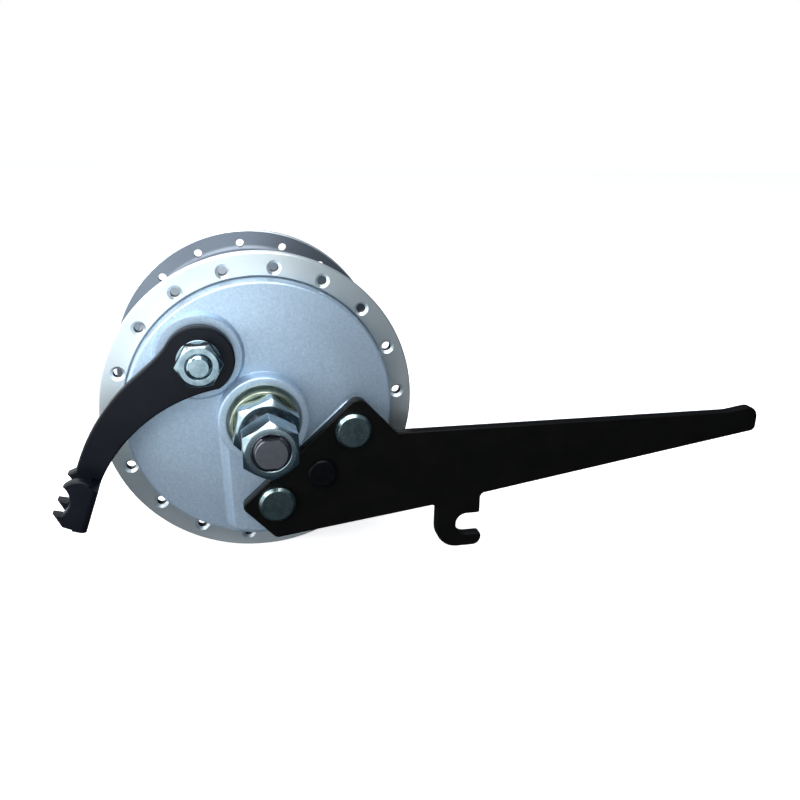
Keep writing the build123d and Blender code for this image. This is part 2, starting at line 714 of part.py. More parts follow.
def return_spring():
    # A close coil along y with a straight leg at each end.
    first, first_way = coil_point(0)
    last, last_way = coil_point(spring_turns * 4)
    edges = spring_leg(first, first_way * -1, -1)
    for number in range(spring_turns * 4):
        edges += biarc(*coil_point(number), *coil_point(number + 1))
    edges += spring_leg(last, last_way, 1)
    path = Wire(edges)
    section = Plane(path.position_at(0), z_dir=path.tangent_at(0)) * Circle(spring_wire / 2)
    spring = sweep(section, path)
    print(f"spring: least gap between turns {least_gap(path):.2f} mm, volume {spring.volume:.1f} mm3, "
          f"section times length {math.pi * (spring_wire / 2) ** 2 * path.length:.1f} mm3")
    return Pos(-spring_r, 0, web_end - spring_depth) * spring


os.makedirs("parts", exist_ok=True)

write(hub_shell(), "hub_shell")
write(drum_liner(), "drum_liner")
for name, piece in bearing(plate_hub_end).items():
    write(piece, f"{name}_brake_side")
for name, piece in bearing(bearing_mouth + far_cone_proud).items():
    write(mirror(piece, Plane.XY.offset((bearing_mouth + nose) / 2)), f"{name}_far_side")

write(axle(), "axle")
write(nut(nut_flats, axle_nut_seat, axle_nut_face, axle_bore, axle_nut_turn), "axle_nut_brake_side")
write(nut(lock_flats, lock_seat, lock_face, axle_bore, lock_nut_turn), "lock_nut_brake_side")
write(nut(nut_flats, far_nut_face, far_nut_seat, axle_bore, far_axle_nut_turn), "axle_nut_far_side")
write(nut(lock_flats, far_lock_face, far_lock_seat, axle_bore, far_lock_nut_turn), "lock_nut_far_side")
write(collar(), "cup_washer_brake_side")
write(far_washer(), "washer_far_side")

write(brake_plate(), "brake_plate")
write(cam_bush(), "cam_bush")
write(anchor_pin(), "anchor_pin")
write(reaction_arm(), "reaction_arm")
write(arm_rivets(), "arm_rivets")

write(cam_spindle(), "cam_spindle")
write(brake_lever(), "brake_lever")
write(cam_washer(), "cam_washer")
write(cam_nut(), "cam_nut")

# Looking from the cam to the anchor pin, the upper shoe is the lower one's mirror image.
to_cam = Rot(0, 0, brake_angle)
shoe_pieces = {"brake_shoe": shoe(), "brake_lining": lining(), "lining_rivets": lining_rivets()}
for name, piece in shoe_pieces.items():
    write(to_cam * piece, f"{name}_lower")
    write(to_cam * mirror(piece, Plane.XZ), f"{name}_upper")

spring = return_spring()
for name, x in spring_x.items():
    write(to_cam * Pos(x, 0, 0) * spring, f"return_spring_{name}")
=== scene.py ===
import bpy
import bmesh
import json
import math
import numpy as np
from mathutils import Matrix, Vector
from mathutils.geometry import delaunay_2d_cdt


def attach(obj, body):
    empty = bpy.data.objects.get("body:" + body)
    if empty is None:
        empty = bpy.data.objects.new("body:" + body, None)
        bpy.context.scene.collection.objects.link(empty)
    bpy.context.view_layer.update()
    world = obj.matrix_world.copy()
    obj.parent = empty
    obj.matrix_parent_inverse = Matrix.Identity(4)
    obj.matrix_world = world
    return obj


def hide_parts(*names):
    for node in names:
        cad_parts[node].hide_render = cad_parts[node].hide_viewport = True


# Drum brake front hub: the looks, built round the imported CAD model.
# Pieces are drawn face on in millimetres, as the brake side is seen: x right, y up, z out along the axle.
# makePiece() turns them to the frame, in metres, where the axle lies along Y and the brake side faces -Y.

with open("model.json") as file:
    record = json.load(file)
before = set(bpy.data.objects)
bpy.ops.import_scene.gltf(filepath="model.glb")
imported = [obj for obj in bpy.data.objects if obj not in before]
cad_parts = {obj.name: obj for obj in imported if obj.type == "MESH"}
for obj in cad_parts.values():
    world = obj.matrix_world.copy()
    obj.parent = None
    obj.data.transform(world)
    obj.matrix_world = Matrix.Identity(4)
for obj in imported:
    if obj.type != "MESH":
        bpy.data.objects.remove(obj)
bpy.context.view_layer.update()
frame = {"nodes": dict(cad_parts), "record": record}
print("frame loaded,", len(frame["nodes"]), "nodes")

mm = 0.001
fullTurn = 2 * math.pi
meshLimits = {"weld": 0.0005, "sliver": 0.0002}  # in mm
spokeSizes = {"count": 18, "circleR": 52.0, "holeR": 1.7, "sinkR": 2.7, "first": 3.6, "farFirst": 13.6}
flangeInner = {"front": 4.0, "far": 62.0}  # how far the flanges' inner faces lie behind the front one, in mm
axleR = 6.0
threadClearance = 0.05
axleBore = axleR + threadClearance


# Small tools

def srgb(colour):
    # "#RRGGBB" as seen on a screen, turned to the linear values that shaders use
    shares = [int(colour[i:i + 2], 16) / 255 for i in (1, 3, 5)]
    return [c / 12.92 if c <= 0.04045 else ((c + 0.055) / 1.055) ** 2.4 for c in shares] + [1.0]


def perSize(size):
    return 1 / (size * mm)  # texture scale for a pattern whose marks are this many millimetres apart


def addNode(tree, kind, settings=None, links=None):
    # A settings key is an input's name or number, or else a property of the node.
    node = tree.nodes.new(kind)
    for key, value in (settings or {}).items():
        if isinstance(key, int) or key in node.inputs:
            node.inputs[key].default_value = value
        else:
            setattr(node, key, value)
    for key, socket in (links or {}).items():
        tree.links.new(socket, node.inputs[key])
    return node


def polar(radius, degrees):
    angle = math.radians(degrees)
    return radius * math.cos(angle), radius * math.sin(angle)


def roundedPath(corners, closed=True, steps=4):
    # Corners are x, y and the radius that rounds them; sharp ones may leave the radius out.
    path = []
    count = len(corners)
    for number, corner in enumerate(corners):
        here = Vector(corner[:2])
        radius = corner[2] if len(corner) > 2 else 0
        if not radius or (not closed and number in (0, count - 1)):
            path.append(here)
            continue
        back = (Vector(corners[number - 1][:2]) - here).normalized()
        ahead = (Vector(corners[(number + 1) % count][:2]) - here).normalized()
        turn = back.angle(ahead)
        centre = here + (back + ahead).normalized() * radius / math.sin(turn / 2)
        reach = radius / math.tan(turn / 2)
        first, last = here + back * reach - centre, here + ahead * reach - centre
        sweep = math.pi - turn
        for step in range(steps + 1):
            share = step / steps
            way = first * math.sin((1 - share) * sweep) + last * math.sin(share * sweep)
            path.append(centre + way / math.sin(sweep))
    return path


def arcThrough(start, middle, end, steps):
    # Points of the circle's arc from start through middle, without its last point
    a, b, c = Vector(start), Vector(middle), Vector(end)
    ab, ac = b - a, c - a
    cross = 2 * (ab.x * ac.y - ab.y * ac.x)
    across = ac.y * ab.dot(ab) - ab.y * ac.dot(ac)
    upward = ab.x * ac.dot(ac) - ac.x * ab.dot(ab)
    centre = a + Vector((across, upward)) / cross
    angles = [math.atan2(p.y - centre.y, p.x - centre.x) for p in (a, c)]
    sweep = (angles[1] - angles[0]) % fullTurn
    if cross < 0:
        sweep -= fullTurn
    radius = (a - centre).length
    turns = [angles[0] + sweep * step / steps for step in range(steps)]
    return [centre + radius * Vector((math.cos(t), math.sin(t))) for t in turns]


def offsetPath(path, distance):
    # The closed path moved sideways; a path that runs counterclockwise grows with a distance above 0
    leastTurn = 0.3  # keeps the move short where the path turns back sharply
    moved = []
    for number, here in enumerate(path):
        back = (here - path[number - 1]).normalized()
        ahead = (path[(number + 1) % len(path)] - here).normalized()
        sides = Vector((back.y, -back.x)) + Vector((ahead.y, -ahead.x))
        moved.append(here + sides * distance / max(1 + back.dot(ahead), leastTurn))
    return moved


def addObject(name, data):
    added = bpy.data.objects.new(name, data)
    bpy.context.scene.collection.objects.link(added)
    return added


def makePiece(name, points, faces, sharp=35):
    mesh = bpy.data.meshes.new(name)
    mesh.from_pydata([(x * mm, -z * mm, y * mm) for x, y, z in points], [], faces)
    piece = addObject(name, mesh)
    tidyMesh(mesh)
    shade(piece, sharp)
    return piece


def tidyMesh(mesh):
    # Closes seams and poles, then turns every face outwards
    work = bmesh.new()
    work.from_mesh(mesh)
    bmesh.ops.remove_doubles(work, verts=work.verts, dist=meshLimits["weld"] * mm)
    bmesh.ops.dissolve_degenerate(work, edges=work.edges, dist=meshLimits["sliver"] * mm)
    bmesh.ops.recalc_face_normals(work, faces=work.faces)
    work.to_mesh(mesh)
    work.free()


def shade(piece, sharp):
    piece.data.shade_smooth()
    piece.data.set_sharp_from_angle(angle=math.radians(sharp))


def settle(piece):
    # Turns what the modifiers show into the piece's own plain mesh
    graph = bpy.context.evaluated_depsgraph_get()
    mesh = bpy.data.meshes.new_from_object(piece.evaluated_get(graph), depsgraph=graph)
    piece.modifiers.clear()
    piece.data = mesh
    mesh.name = piece.name


def weigh(piece, sharp=35):
    # Flat faces keep their flat shading beside rounded edges
    shade(piece, sharp)
    modifier = piece.modifiers.new("Weighted normals", "WEIGHTED_NORMAL")
    modifier.keep_sharp = True
    modifier.weight = 80
    settle(piece)


def lathe(name, corners, segments, centre=(0, 0), closed=True, steps=4, sharp=35):
    # Turns a profile of radius, height and rounding about the axle or a line beside it
    profile = roundedPath(corners, closed, steps)
    count = len(profile)
    points, faces = [], []
    for turn in range(segments):
        cosine, sine = polar(1, turn * 360 / segments)
        points += [(centre[0] + r * cosine, centre[1] + r * sine, z) for r, z in profile]
        start, following = turn * count, (turn + 1) % segments * count
        for k in range(count if closed else count - 1):
            n = (k + 1) % count
            faces.append((start + k, following + k, following + n, start + n))
    return makePiece(name, points, faces, sharp)


def bandFaces(rows, count, start=0, around=True, closed=False):
    # Faces between rows of equally many points: a row may run around, and the last may meet the first.
    faces = []
    for row in range(rows if closed else rows - 1):
        near, far = start + row * count, start + (row + 1) % rows * count
        for k in range(count if around else count - 1):
            n = (k + 1) % count
            faces.append((near + k, near + n, far + n, far + k))
    return faces


def stackRings(name, rings, sharp=35):
    # Skins closed rings of equally many points and closes both ends
    count = len(rings[0])
    points = [point for ring in rings for point in ring]
    faces = [tuple(range(count)), tuple(range(len(points) - count, len(points)))]
    return makePiece(name, points, faces + bandFaces(len(rings), count), sharp)


def plateFrom(name, path, low, high, lowRound, highRound):
    # A flat piece cut to a counterclockwise path, with its edges rounded
    steps = 4
    levels = []
    for radius, edge, way in ((lowRound, low, 1), (highRound, high, -1)):
        arc = []
        for step in range(steps + 1):
            angle = step / steps * math.pi / 2
            arc.append((radius * (1 - math.sin(angle)), edge + way * radius * (1 - math.cos(angle))))
        levels += arc if way > 0 else arc[::-1]
    rings = [[(p.x, p.y, z) for p in offsetPath(path, -inset)] for inset, z in levels]
    return stackRings(name, rings)


def cutOut(piece, cutters):
    # Cuts the cutters out of the piece and removes them
    for cutter in cutters:
        modifier = piece.modifiers.new(cutter.name, "BOOLEAN")
        modifier.operation = "DIFFERENCE"
        modifier.solver = "EXACT"
        modifier.object = cutter
    settle(piece)
    for cutter in cutters:
        bpy.data.objects.remove(cutter)
    tidyMesh(piece.data)


def join(name, pieces):
    # Several closed shells as one piece
    mesh = bpy.data.meshes.new(name)
    work = bmesh.new()
    for piece in pieces:
        work.from_mesh(piece.data)
        bpy.data.objects.remove(piece)
    work.to_mesh(mesh)
    work.free()
    return addObject(name, mesh)


def finish(piece, body, slot, *nodes, material=None):
    # A piece takes its slot's material, or one of its own.
    piece.data.materials.clear()
    piece.data.materials.append(material or paints[slot])
    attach(piece, body)
    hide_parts(*nodes)


# Geometry Nodes trees

def newTree(name, sockets):
    tree = bpy.data.node_groups.new(name, "GeometryNodeTree")
    tree.interface.new_socket("Geometry", in_out="OUTPUT", socket_type="NodeSocketGeometry")
    tree.interface.new_socket("Geometry", in_out="INPUT", socket_type="NodeSocketGeometry")
    for label, kind in sockets.items():
        tree.interface.new_socket(label, in_out="INPUT", socket_type="NodeSocket" + kind)
    return tree, tree.nodes.new("NodeGroupInput").outputs


def endTree(tree, geometry, material):
    real = addNode(tree, "GeometryNodeRealizeInstances", links={0: geometry})
    painted = addNode(tree, "GeometryNodeSetMaterial", links={0: real.outputs[0], "Material": material})
    addNode(tree, "NodeGroupOutput", links={0: painted.outputs[0]})


def runTree(piece, tree, values):
    modifier = piece.modifiers.new(tree.name, "NODES")
    modifier.node_group = tree
    for item in tree.interface.items_tree:
        if item.in_out == "INPUT" and item.name in values:
            modifier[item.identifier] = values[item.name]
    settle(piece)


def drilledCircleTree():
    # Cuts copies of a drill out of the geometry, spaced on a circle round the axle
    tree, given = newTree("Drilled circle", {
        "Drill": "Object", "Count": "Int", "Circle Radius": "Float", "First Hole": "Float",
        "Face": "Float", "Tilt": "Float", "Material": "Material"})
    circle = addNode(tree, "GeometryNodeMeshCircle",
                     links={"Vertices": given["Count"], "Radius": given["Circle Radius"]})
    drill = addNode(tree, "GeometryNodeObjectInfo", links={"Object": given["Drill"]})
    copies = addNode(tree, "GeometryNodeInstanceOnPoints",
                     links={"Points": circle.outputs["Mesh"], "Instance": drill.outputs["Geometry"]})
    spin = addNode(tree, "ShaderNodeCombineXYZ", links={"Z": given["First Hole"]})
    spun = addNode(tree, "GeometryNodeTransform", links={0: copies.outputs[0], "Rotation": spin.outputs[0]})
    tilt = addNode(tree, "ShaderNodeCombineXYZ", links={"X": given["Tilt"]})
    shift = addNode(tree, "ShaderNodeCombineXYZ", links={"Y": given["Face"]})
    placed = addNode(tree, "GeometryNodeTransform",
                     links={0: spun.outputs[0], "Rotation": tilt.outputs[0], "Translation": shift.outputs[0]})
    drills = addNode(tree, "GeometryNodeRealizeInstances", links={0: placed.outputs[0]})
    cut = addNode(tree, "GeometryNodeMeshBoolean", {"operation": "DIFFERENCE", "solver": "EXACT"},
                  {"Mesh 1": given["Geometry"], "Mesh 2": drills.outputs[0]})
    endTree(tree, cut.outputs[0], given["Material"])
    return tree


def copiesTree():
    # Sets a copy of one piece on every point
    tree, given = newTree("Copies on points", {"Copy": "Object", "Material": "Material"})
    shape = addNode(tree, "GeometryNodeObjectInfo", links={"Object": given["Copy"]})
    copies = addNode(tree, "GeometryNodeInstanceOnPoints",
                     links={"Points": given["Geometry"], "Instance": shape.outputs["Geometry"]})
    endTree(tree, copies.outputs[0], given["Material"])
    return tree


# Materials

def newMaterial(name, metallic, roughness):
    material = bpy.data.materials.new(name)
    material.use_nodes = True
    tree = material.node_tree
    shader = tree.nodes["Principled BSDF"]
    shader.inputs["Metallic"].default_value = metallic
    shader.inputs["Roughness"].default_value = roughness
    place = addNode(tree, "ShaderNodeTexCoord").outputs["Object"]
    return material, tree, shader, place


def emptyTree(owner):
    owner.use_nodes = True
    owner.node_tree.nodes.clear()
    return owner.node_tree


def addMaths(tree, operation, *values):
    # Each value is a number or the output of another node.
    node = addNode(tree, "ShaderNodeMath", {"operation": operation})
    for value, socket in zip(values, node.inputs):
        if isinstance(value, float):
            socket.default_value = value
        else:
            tree.links.new(value, socket)
    return node.outputs[0]


def addNoise(tree, place, size, detail):
    # The noise's marks are about size millimetres apart.
    settings = {"Scale": perSize(size), "Detail": detail}
    return addNode(tree, "ShaderNodeTexNoise", settings, {"Vector": place}).outputs[0]


def alongAxle(tree, vector):
    return addNode(tree, "ShaderNodeSeparateXYZ", links={0: vector}).outputs["Y"]


def varyColour(tree, shader, factor, first, second):
    # A Mix node's inputs 6 and 7 are its two colours, and its output 2 is their blend.
    tones = {"data_type": "RGBA", 6: srgb(first), 7: srgb(second)}
    blend = addNode(tree, "ShaderNodeMix", tones, {0: factor})
    tree.links.new(blend.outputs[2], shader.inputs["Base Color"])
    return blend.outputs[2]


def varyRoughness(tree, shader, factor, low, high):
    span = addNode(tree, "ShaderNodeMapRange", {"To Min": low, "To Max": high}, {"Value": factor})
    tree.links.new(span.outputs[0], shader.inputs["Roughness"])


def addBump(tree, shader, height, strength, depth, under=None):
    # depth is in millimetres
    bump = addNode(tree, "ShaderNodeBump", {"Strength": strength, "Distance": depth * mm}, {"Height": height})
    if under:
        tree.links.new(under.outputs[0], bump.inputs["Normal"])
    tree.links.new(bump.outputs[0], shader.inputs["Normal"])
    return bump


def axleDistance(tree, place):
    # How far the point lies from the axle's line, in metres
    flat = addNode(tree, "ShaderNodeVectorMath", {"operation": "MULTIPLY", 1: (1, 0, 1)}, {0: place})
    length = addNode(tree, "ShaderNodeVectorMath", {"operation": "LENGTH"}, {0: flat.outputs[0]})
    return length.outputs["Value"]


def turningMarks(tree, place, spacing, detail):
    # Noise that changes with the distance from the axle and along it, as a lathe tool leaves it
    travel = addMaths(tree, "ADD", axleDistance(tree, place), alongAxle(tree, place))
    grooves = {"noise_dimensions": "1D", "Scale": perSize(spacing), "Detail": detail}
    return addNode(tree, "ShaderNodeTexNoise", grooves, {"W": travel}).outputs[0]


def paintedShadeBetweenFlanges(tree, place):
    # 1 between the flanges, where painted shade darkens the colour
    slack = 0.05
    middle = (flangeInner["front"] + flangeInner["far"]) / 2 * mm
    reach = ((flangeInner["far"] - flangeInner["front"]) / 2 + slack) * mm
    return addMaths(tree, "COMPARE", alongAxle(tree, place), middle, reach)


def paintedShadeOnHoleWalls(tree, place):
    # 1 on the spoke holes' straight walls, which get painted shade: near their circle, facing sideways
    slack = 0.02
    mostAlong = 0.4  # the largest part of such a wall's normal that may point along the axle
    reach = (spokeSizes["sinkR"] + slack) * mm
    ring = addMaths(tree, "COMPARE", axleDistance(tree, place), spokeSizes["circleR"] * mm, reach)
    facing = addNode(tree, "ShaderNodeTexCoord").outputs["Normal"]
    side = addMaths(tree, "COMPARE", alongAxle(tree, facing), 0.0, mostAlong)
    return addMaths(tree, "MULTIPLY", ring, side)


def turnedAluminium():
    # Aluminium alloy, cast and turned bright: rings round the axle, faint stains, soft mirror.
    # Painted shade darkens the surfaces between the flanges and the spoke holes' walls. The rings are about
    # four times as coarse as real ones, so that they show.
    material, tree, shader, place = newMaterial("aluminiumCastAndTurned", 0.9, 0.3)
    marks = turningMarks(tree, place, 1.1, 2.0)
    stains = addNoise(tree, place, 14, 4.0)
    colour = varyColour(tree, shader, stains, "#E2EAEC", "#CED7DC")
    # Painted shade: between the flanges and on the spoke holes' walls, the colour is mixed to a darker tone
    for part, tone in ((paintedShadeBetweenFlanges, "#7F8893"), (paintedShadeOnHoleWalls, "#474C52")):
        paintedShade = {"data_type": "RGBA", 7: srgb(tone)}
        colour = addNode(tree, "ShaderNodeMix", paintedShade, {0: part(tree, place), 6: colour}).outputs[2]
    tree.links.new(colour, shader.inputs["Base Color"])
    varyRoughness(tree, shader, marks, 0.42, 0.52)
    addBump(tree, shader, marks, 0.25, 0.012)
    aroundAxle = addNode(tree, "ShaderNodeTangent", {"direction_type": "RADIAL", "axis": "Y"})
    tree.links.new(aroundAxle.outputs[0], shader.inputs["Tangent"])
    shader.inputs["Anisotropic"].default_value = 0.75
    shader.inputs["Anisotropic Rotation"].default_value = 0.25
    return material


def castAluminium():
    # Aluminium alloy, pressure die cast and left bare: dull grey, slightly grainy
    material, tree, shader, place = newMaterial("aluminiumDieCast", 1.0, 0.5)
    grain = addNoise(tree, place, 0.7, 5.0)
    varyColour(tree, shader, grain, "#A4A8AD", "#8C9096")
    varyRoughness(tree, shader, grain, 0.4, 0.62)
    addBump(tree, shader, grain, 0.4, 0.08)
    return material


def silverPaint():
    # Metallic silver paint sprayed on a casting: flakes sparkle, and the thin film mottles over its pores.
    # The flakes are drawn far coarser than real ones, so that they show.
    material, tree, shader, place = newMaterial("silverPaintSprayed", 0.75, 0.4)
    mottle = addNoise(tree, place, 0.9, 3.0)
    flake = addNoise(tree, place, 0.3, 2.0)
    spread = addNode(tree, "ShaderNodeMapRange", {"From Min": 0.3, "From Max": 0.7}, {"Value": mottle})
    varyColour(tree, shader, spread.outputs[0], "#A2B7CC", "#B5C9DB")
    varyRoughness(tree, shader, flake, 0.32, 0.5)
    pores = addBump(tree, shader, mottle, 0.2, 0.04)
    addBump(tree, shader, flake, 0.2, 0.02, pores)
    return material


def blackPaint(name, deep, worn, specular):
    # Satin black enamel on pressed steel: a slight orange peel, thinner and greyer in patches
    material, tree, shader, place = newMaterial(name, 0.0, 0.36)
    shader.inputs["Specular IOR Level"].default_value = specular
    peel = addNoise(tree, place, 0.9, 2.0)
    patch = addNoise(tree, place, 9, 4.0)
    varyColour(tree, shader, patch, deep, worn)
    varyRoughness(tree, shader, patch, 0.3, 0.46)
    addBump(tree, shader, peel, 0.12, 0.03)
    return material


def zincPlate(name, light, dark, low, high):
    # Zinc plate on steel, passivated: cloudy tints, and the metal's grain under it, coarse enough to show
    material, tree, shader, place = newMaterial(name, 1.0, low)
    clouds = addNoise(tree, place, 3.2, 5.0)
    spread = addNode(tree, "ShaderNodeMapRange", {"From Min": 0.35, "From Max": 0.65}, {"Value": clouds})
    grain = addNoise(tree, place, 0.4, 3.0)
    varyColour(tree, shader, spread.outputs[0], light, dark)
    varyRoughness(tree, shader, clouds, low, high)
    addBump(tree, shader, grain, 0.12, 0.02)
    return material


def bareMetal(name, light, dark, low, high, metallic=1.0):
    # Bare metal as rolled, drawn, ground, sintered or blackened, thinly oiled: cloudy sheen, faint unevenness
    material, tree, shader, place = newMaterial(name, metallic, low)
    patch = addNoise(tree, place, 2.4, 5.0)
    varyColour(tree, shader, patch, light, dark)
    varyRoughness(tree, shader, patch, low, high)
    addBump(tree, shader, patch, 0.1, 0.03)
    return material


def frictionLining():
    # Moulded friction lining, ground to its curve: resin with short fibres and metal chips in it
    material, tree, shader, place = newMaterial("frictionLiningMoulded", 0.0, 0.85)
    cells = addNode(tree, "ShaderNodeTexVoronoi", {"Scale": perSize(0.9)}, {"Vector": place})
    chips = cells.outputs["Distance"]
    mask = addNode(tree, "ShaderNodeMapRange", {"From Min": 0.12, "From Max": 0.3}, {"Value": chips})
    varyColour(tree, shader, mask.outputs[0], "#8A7A62", "#3A332C")
    addBump(tree, shader, chips, 0.4, 0.1)
    return material


paints = {
    "shell_alloy": turnedAluminium(),
    "silver_paint": silverPaint(),
    "black_paint": blackPaint("blackSatinEnamel", "#05070D", "#0A0E18", 0.22),
    "bright_zinc": zincPlate("zincPlateBright", "#B0C3CB", "#93A9B3", 0.18, 0.28),
    "blue_zinc": zincPlate("zincPlateBlue", "#C4D3DA", "#A3B7BF", 0.14, 0.24),
    "yellow_zinc": zincPlate("zincPlateYellow", "#BEC4AE", "#949C88", 0.22, 0.4),
    "axle_steel": bareMetal("axleSteelRolled", "#83838B", "#62626A", 0.36, 0.5),
    "black_steel": bareMetal("steelBlackened", "#0E0F12", "#17181C", 0.3, 0.5, 0.85),
    "bearing_steel": bareMetal("bearingSteelGround", "#C4C7CB", "#B2B6BC", 0.1, 0.2),
    "drum_iron": bareMetal("greyIronTurned", "#6E6D6C", "#5A5958", 0.35, 0.5),
    "shoe_alloy": castAluminium(),
    "lining": frictionLining(),
    "bronze": bareMetal("bronzeSintered", "#A5804C", "#8A6A3E", 0.35, 0.5),
    "soft_brass": bareMetal("brassDrawn", "#C2A562", "#AE9254", 0.25, 0.4),
    "spring_steel": bareMetal("springSteelOiled", "#56585E", "#43454B", 0.25, 0.4),
}
rivetPaint = zincPlate("zincPlateWorn", "#B0C3C0", "#778C8E", 0.2, 0.36)
armPaint = blackPaint("blackStovedEnamel", "#030303", "#080706", 0.16)
print("materials made")

# The shell: two drilled flanges on one barrel, turned bright, with painted shade between the flanges

shellSizes = {
    "flangeR": 57.5, "flangeThickness": 4.0, "mouthR": 49.0, "mouthDepth": 2.2, "barrelR": 49.2,
    "linerR": 47.0, "linerSeat": 1.0, "drumEnd": -28.2, "farFace": -66.0, "endWall": 6.0,
    "endFaceR": 26.0, "endRise": 4.0, "noseR": 20.0, "nose": -73.0, "cupR": 15.0, "cupLength": 9.5,
    "tubeR": 19.0, "tubeBore": 12.0, "bearingMouth": -27.0, "edge": 0.8, "fillet": 2.2,
    "fineEdge": 0.3, "coneRound": 4.0, "rimRound": 2.0, "noseFillet": 1.5, "innerFillet": 3.0,
    "mouthEdge": 0.25, "noseEdge": 0.6, "tubeEdge": 0.5,
}


def makeShell():
    s = shellSizes
    farInner = s["farFace"] + s["flangeThickness"]
    wallIn = s["farFace"] + s["endWall"]
    seatR = s["linerR"] - s["linerSeat"]
    endFace = s["farFace"] - s["endRise"]
    innerCup = s["bearingMouth"] - s["cupLength"]
    shell = lathe("hubShell", (
        (s["mouthR"], 0, s["mouthEdge"]),
        (s["flangeR"], 0, s["edge"]),
        (s["flangeR"], -s["flangeThickness"], s["edge"]),
        (s["barrelR"], -s["flangeThickness"], s["fillet"]),
        (s["barrelR"], farInner, s["fillet"]),
        (s["flangeR"], farInner, s["edge"]),
        (s["flangeR"], s["farFace"], s["edge"]),
        (s["linerR"], s["farFace"], s["rimRound"]),
        (s["endFaceR"], endFace, s["coneRound"]),
        (s["noseR"], endFace, s["noseFillet"]),
        (s["noseR"], s["nose"], s["noseEdge"]),
        (s["cupR"], s["nose"], s["fineEdge"]),
        (s["cupR"], s["nose"] + s["cupLength"]),
        (s["tubeBore"], s["nose"] + s["cupLength"]),
        (s["tubeBore"], innerCup),
        (s["cupR"], innerCup),
        (s["cupR"], s["bearingMouth"], s["fineEdge"]),
        (s["tubeR"], s["bearingMouth"], s["tubeEdge"]),
        (s["tubeR"], wallIn, s["innerFillet"]),
        (seatR, wallIn, s["innerFillet"]),
        (seatR, s["drumEnd"]),
        (s["linerR"], s["drumEnd"]),
        (s["linerR"], -s["mouthDepth"]),
        (s["mouthR"], -s["mouthDepth"])), 216)
    past, proud = 1.0, 0.3  # how far the drill reaches out of the flange behind and in front
    below = -s["flangeThickness"] - past
    holeR, sinkR = spokeSizes["holeR"], spokeSizes["sinkR"]
    drill = lathe("spokeDrill", (
        (0, below), (holeR, below), (holeR, holeR - sinkR), (sinkR + proud, proud), (0, proud)),
        40, closed=False)
    drill.data.transform(Matrix.Rotation(-math.pi / 2, 4, "X"))
    tree = drilledCircleTree()
    flanges = (
        {"First Hole": spokeSizes["first"], "Face": 0.0, "Tilt": 90.0},
        {"First Hole": -spokeSizes["farFirst"], "Face": -s["farFace"] * mm, "Tilt": -90.0},
    )
    for flange in flanges:
        runTree(shell, tree, {
            "Drill": drill, "Count": spokeSizes["count"], "Circle Radius": spokeSizes["circleR"] * mm,
            "First Hole": math.radians(flange["First Hole"]), "Face": flange["Face"],
            "Tilt": math.radians(flange["Tilt"]), "Material": paints["shell_alloy"]})
    bpy.data.objects.remove(drill)
    tidyMesh(shell.data)
    weigh(shell)
    finish(shell, "shell", "shell_alloy", "hub_shell")


makeShell()
print("shell made")

# The brake plate: a domed casting with a cam boss, the arm's pad and a boss round the axle

brakeSizes = {"angle": 133.5, "camR": 31.3, "anchorR": 30.0}  # the cam's angle; the anchor lies opposite
plateSizes = {
    "rimR": 48.35, "rimRound": 1.3, "domeR": 34.0, "domeZ": 9.2, "innerSlope": 0.0393, "outerSlope": 0.1645,
    "bossR": 16.2, "bossFace": 17.0, "bossRound": 0.8, "bossFoot": 0.15, "recessR": 13.0, "recessFloor": 14.0,
    "camBossR": 15.1, "camBossFace": 11.5, "padFace": 12.0, "padInner": 20.2, "padHalf": 27.4,
    "padReach": 46.2, "webTop": (-14.5, 2.0), "webFoot": (-12.4, -45.5), "padRound": 4.5, "padTipRound": 2.0,
    "padEndRound": 3.0, "pathGap": 0.75, "skirtEnd": -1.5, "skirtWall": 3.0, "wall": 4.0,
    "hubR": 14.0, "hubEnd": -12.0, "hubRoot": 2.4, "skirtRoot": 2.84, "innerRound": 8.0, "softEdge": 0.8,
    "fineEdge": 0.3, "rimDrop": 1.1, "domeBlend": 0.5, "padSoftness": 1.2, "bossSoftness": 0.45,
    "softSpan": 2.6, "segments": 216,
}


def headPoint(along, across):
    # A point along the line from the axle to the anchor pin, and across it
    ux, uy = polar(1, brakeSizes["angle"] - 180)
    return Vector((along * ux - across * uy, along * uy + across * ux))


def padPath():
    s = plateSizes
    reach = s["padReach"]
    side = headPoint(math.sqrt(reach ** 2 - s["padHalf"] ** 2), s["padHalf"])
    foot = Vector(s["webFoot"])
    foot *= reach / foot.length
    angles = [math.degrees(math.atan2(p.y, p.x)) for p in (side, foot)]
    middle = polar(reach, sum(angles) / 2)
    tip, end = s["padTipRound"], s["padEndRound"]
    corners = [(*s["webTop"], tip), (*foot, end)]
    corners += arcThrough(foot, middle, side, 40)[3:-2]  # the rounded corners take the arc's ends
    corners += [(*side, end), (*headPoint(s["padInner"], s["padHalf"]), s["padRound"])]
    corners += [(*headPoint(s["padInner"], 0), tip), (0, 0, tip)]
    return spaced(roundedPath(corners, steps=6), s["pathGap"])


def spaced(path, gap):
    # The closed path as points at nearly equal distances
    points = []
    for number, here in enumerate(path):
        there = path[(number + 1) % len(path)]
        count = max(1, round((there - here).length / gap))
        points += [here.lerp(there, step / count) for step in range(count)]
    return points


def outlineDistance(points, path):
    # Distance from points to a closed path, below 0 inside it
    nearest = np.full(len(points), np.inf)
    inside = np.zeros(len(points), bool)
    for number, start in enumerate(path):
        a, b = np.array(path[number - 1]), np.array(start)
        edge, offset = b - a, points - a
        share = np.clip(offset @ edge / (edge @ edge), 0, 1)
        nearest = np.minimum(nearest, np.linalg.norm(offset - share[:, None] * edge, axis=1))
        if a[1] != b[1]:
            crossing = a[0] + offset[:, 1] / edge[1] * edge[0]
            inside ^= ((a[1] > points[:, 1]) != (b[1] > points[:, 1])) & (points[:, 0] < crossing)
    return np.where(inside, -nearest, nearest)


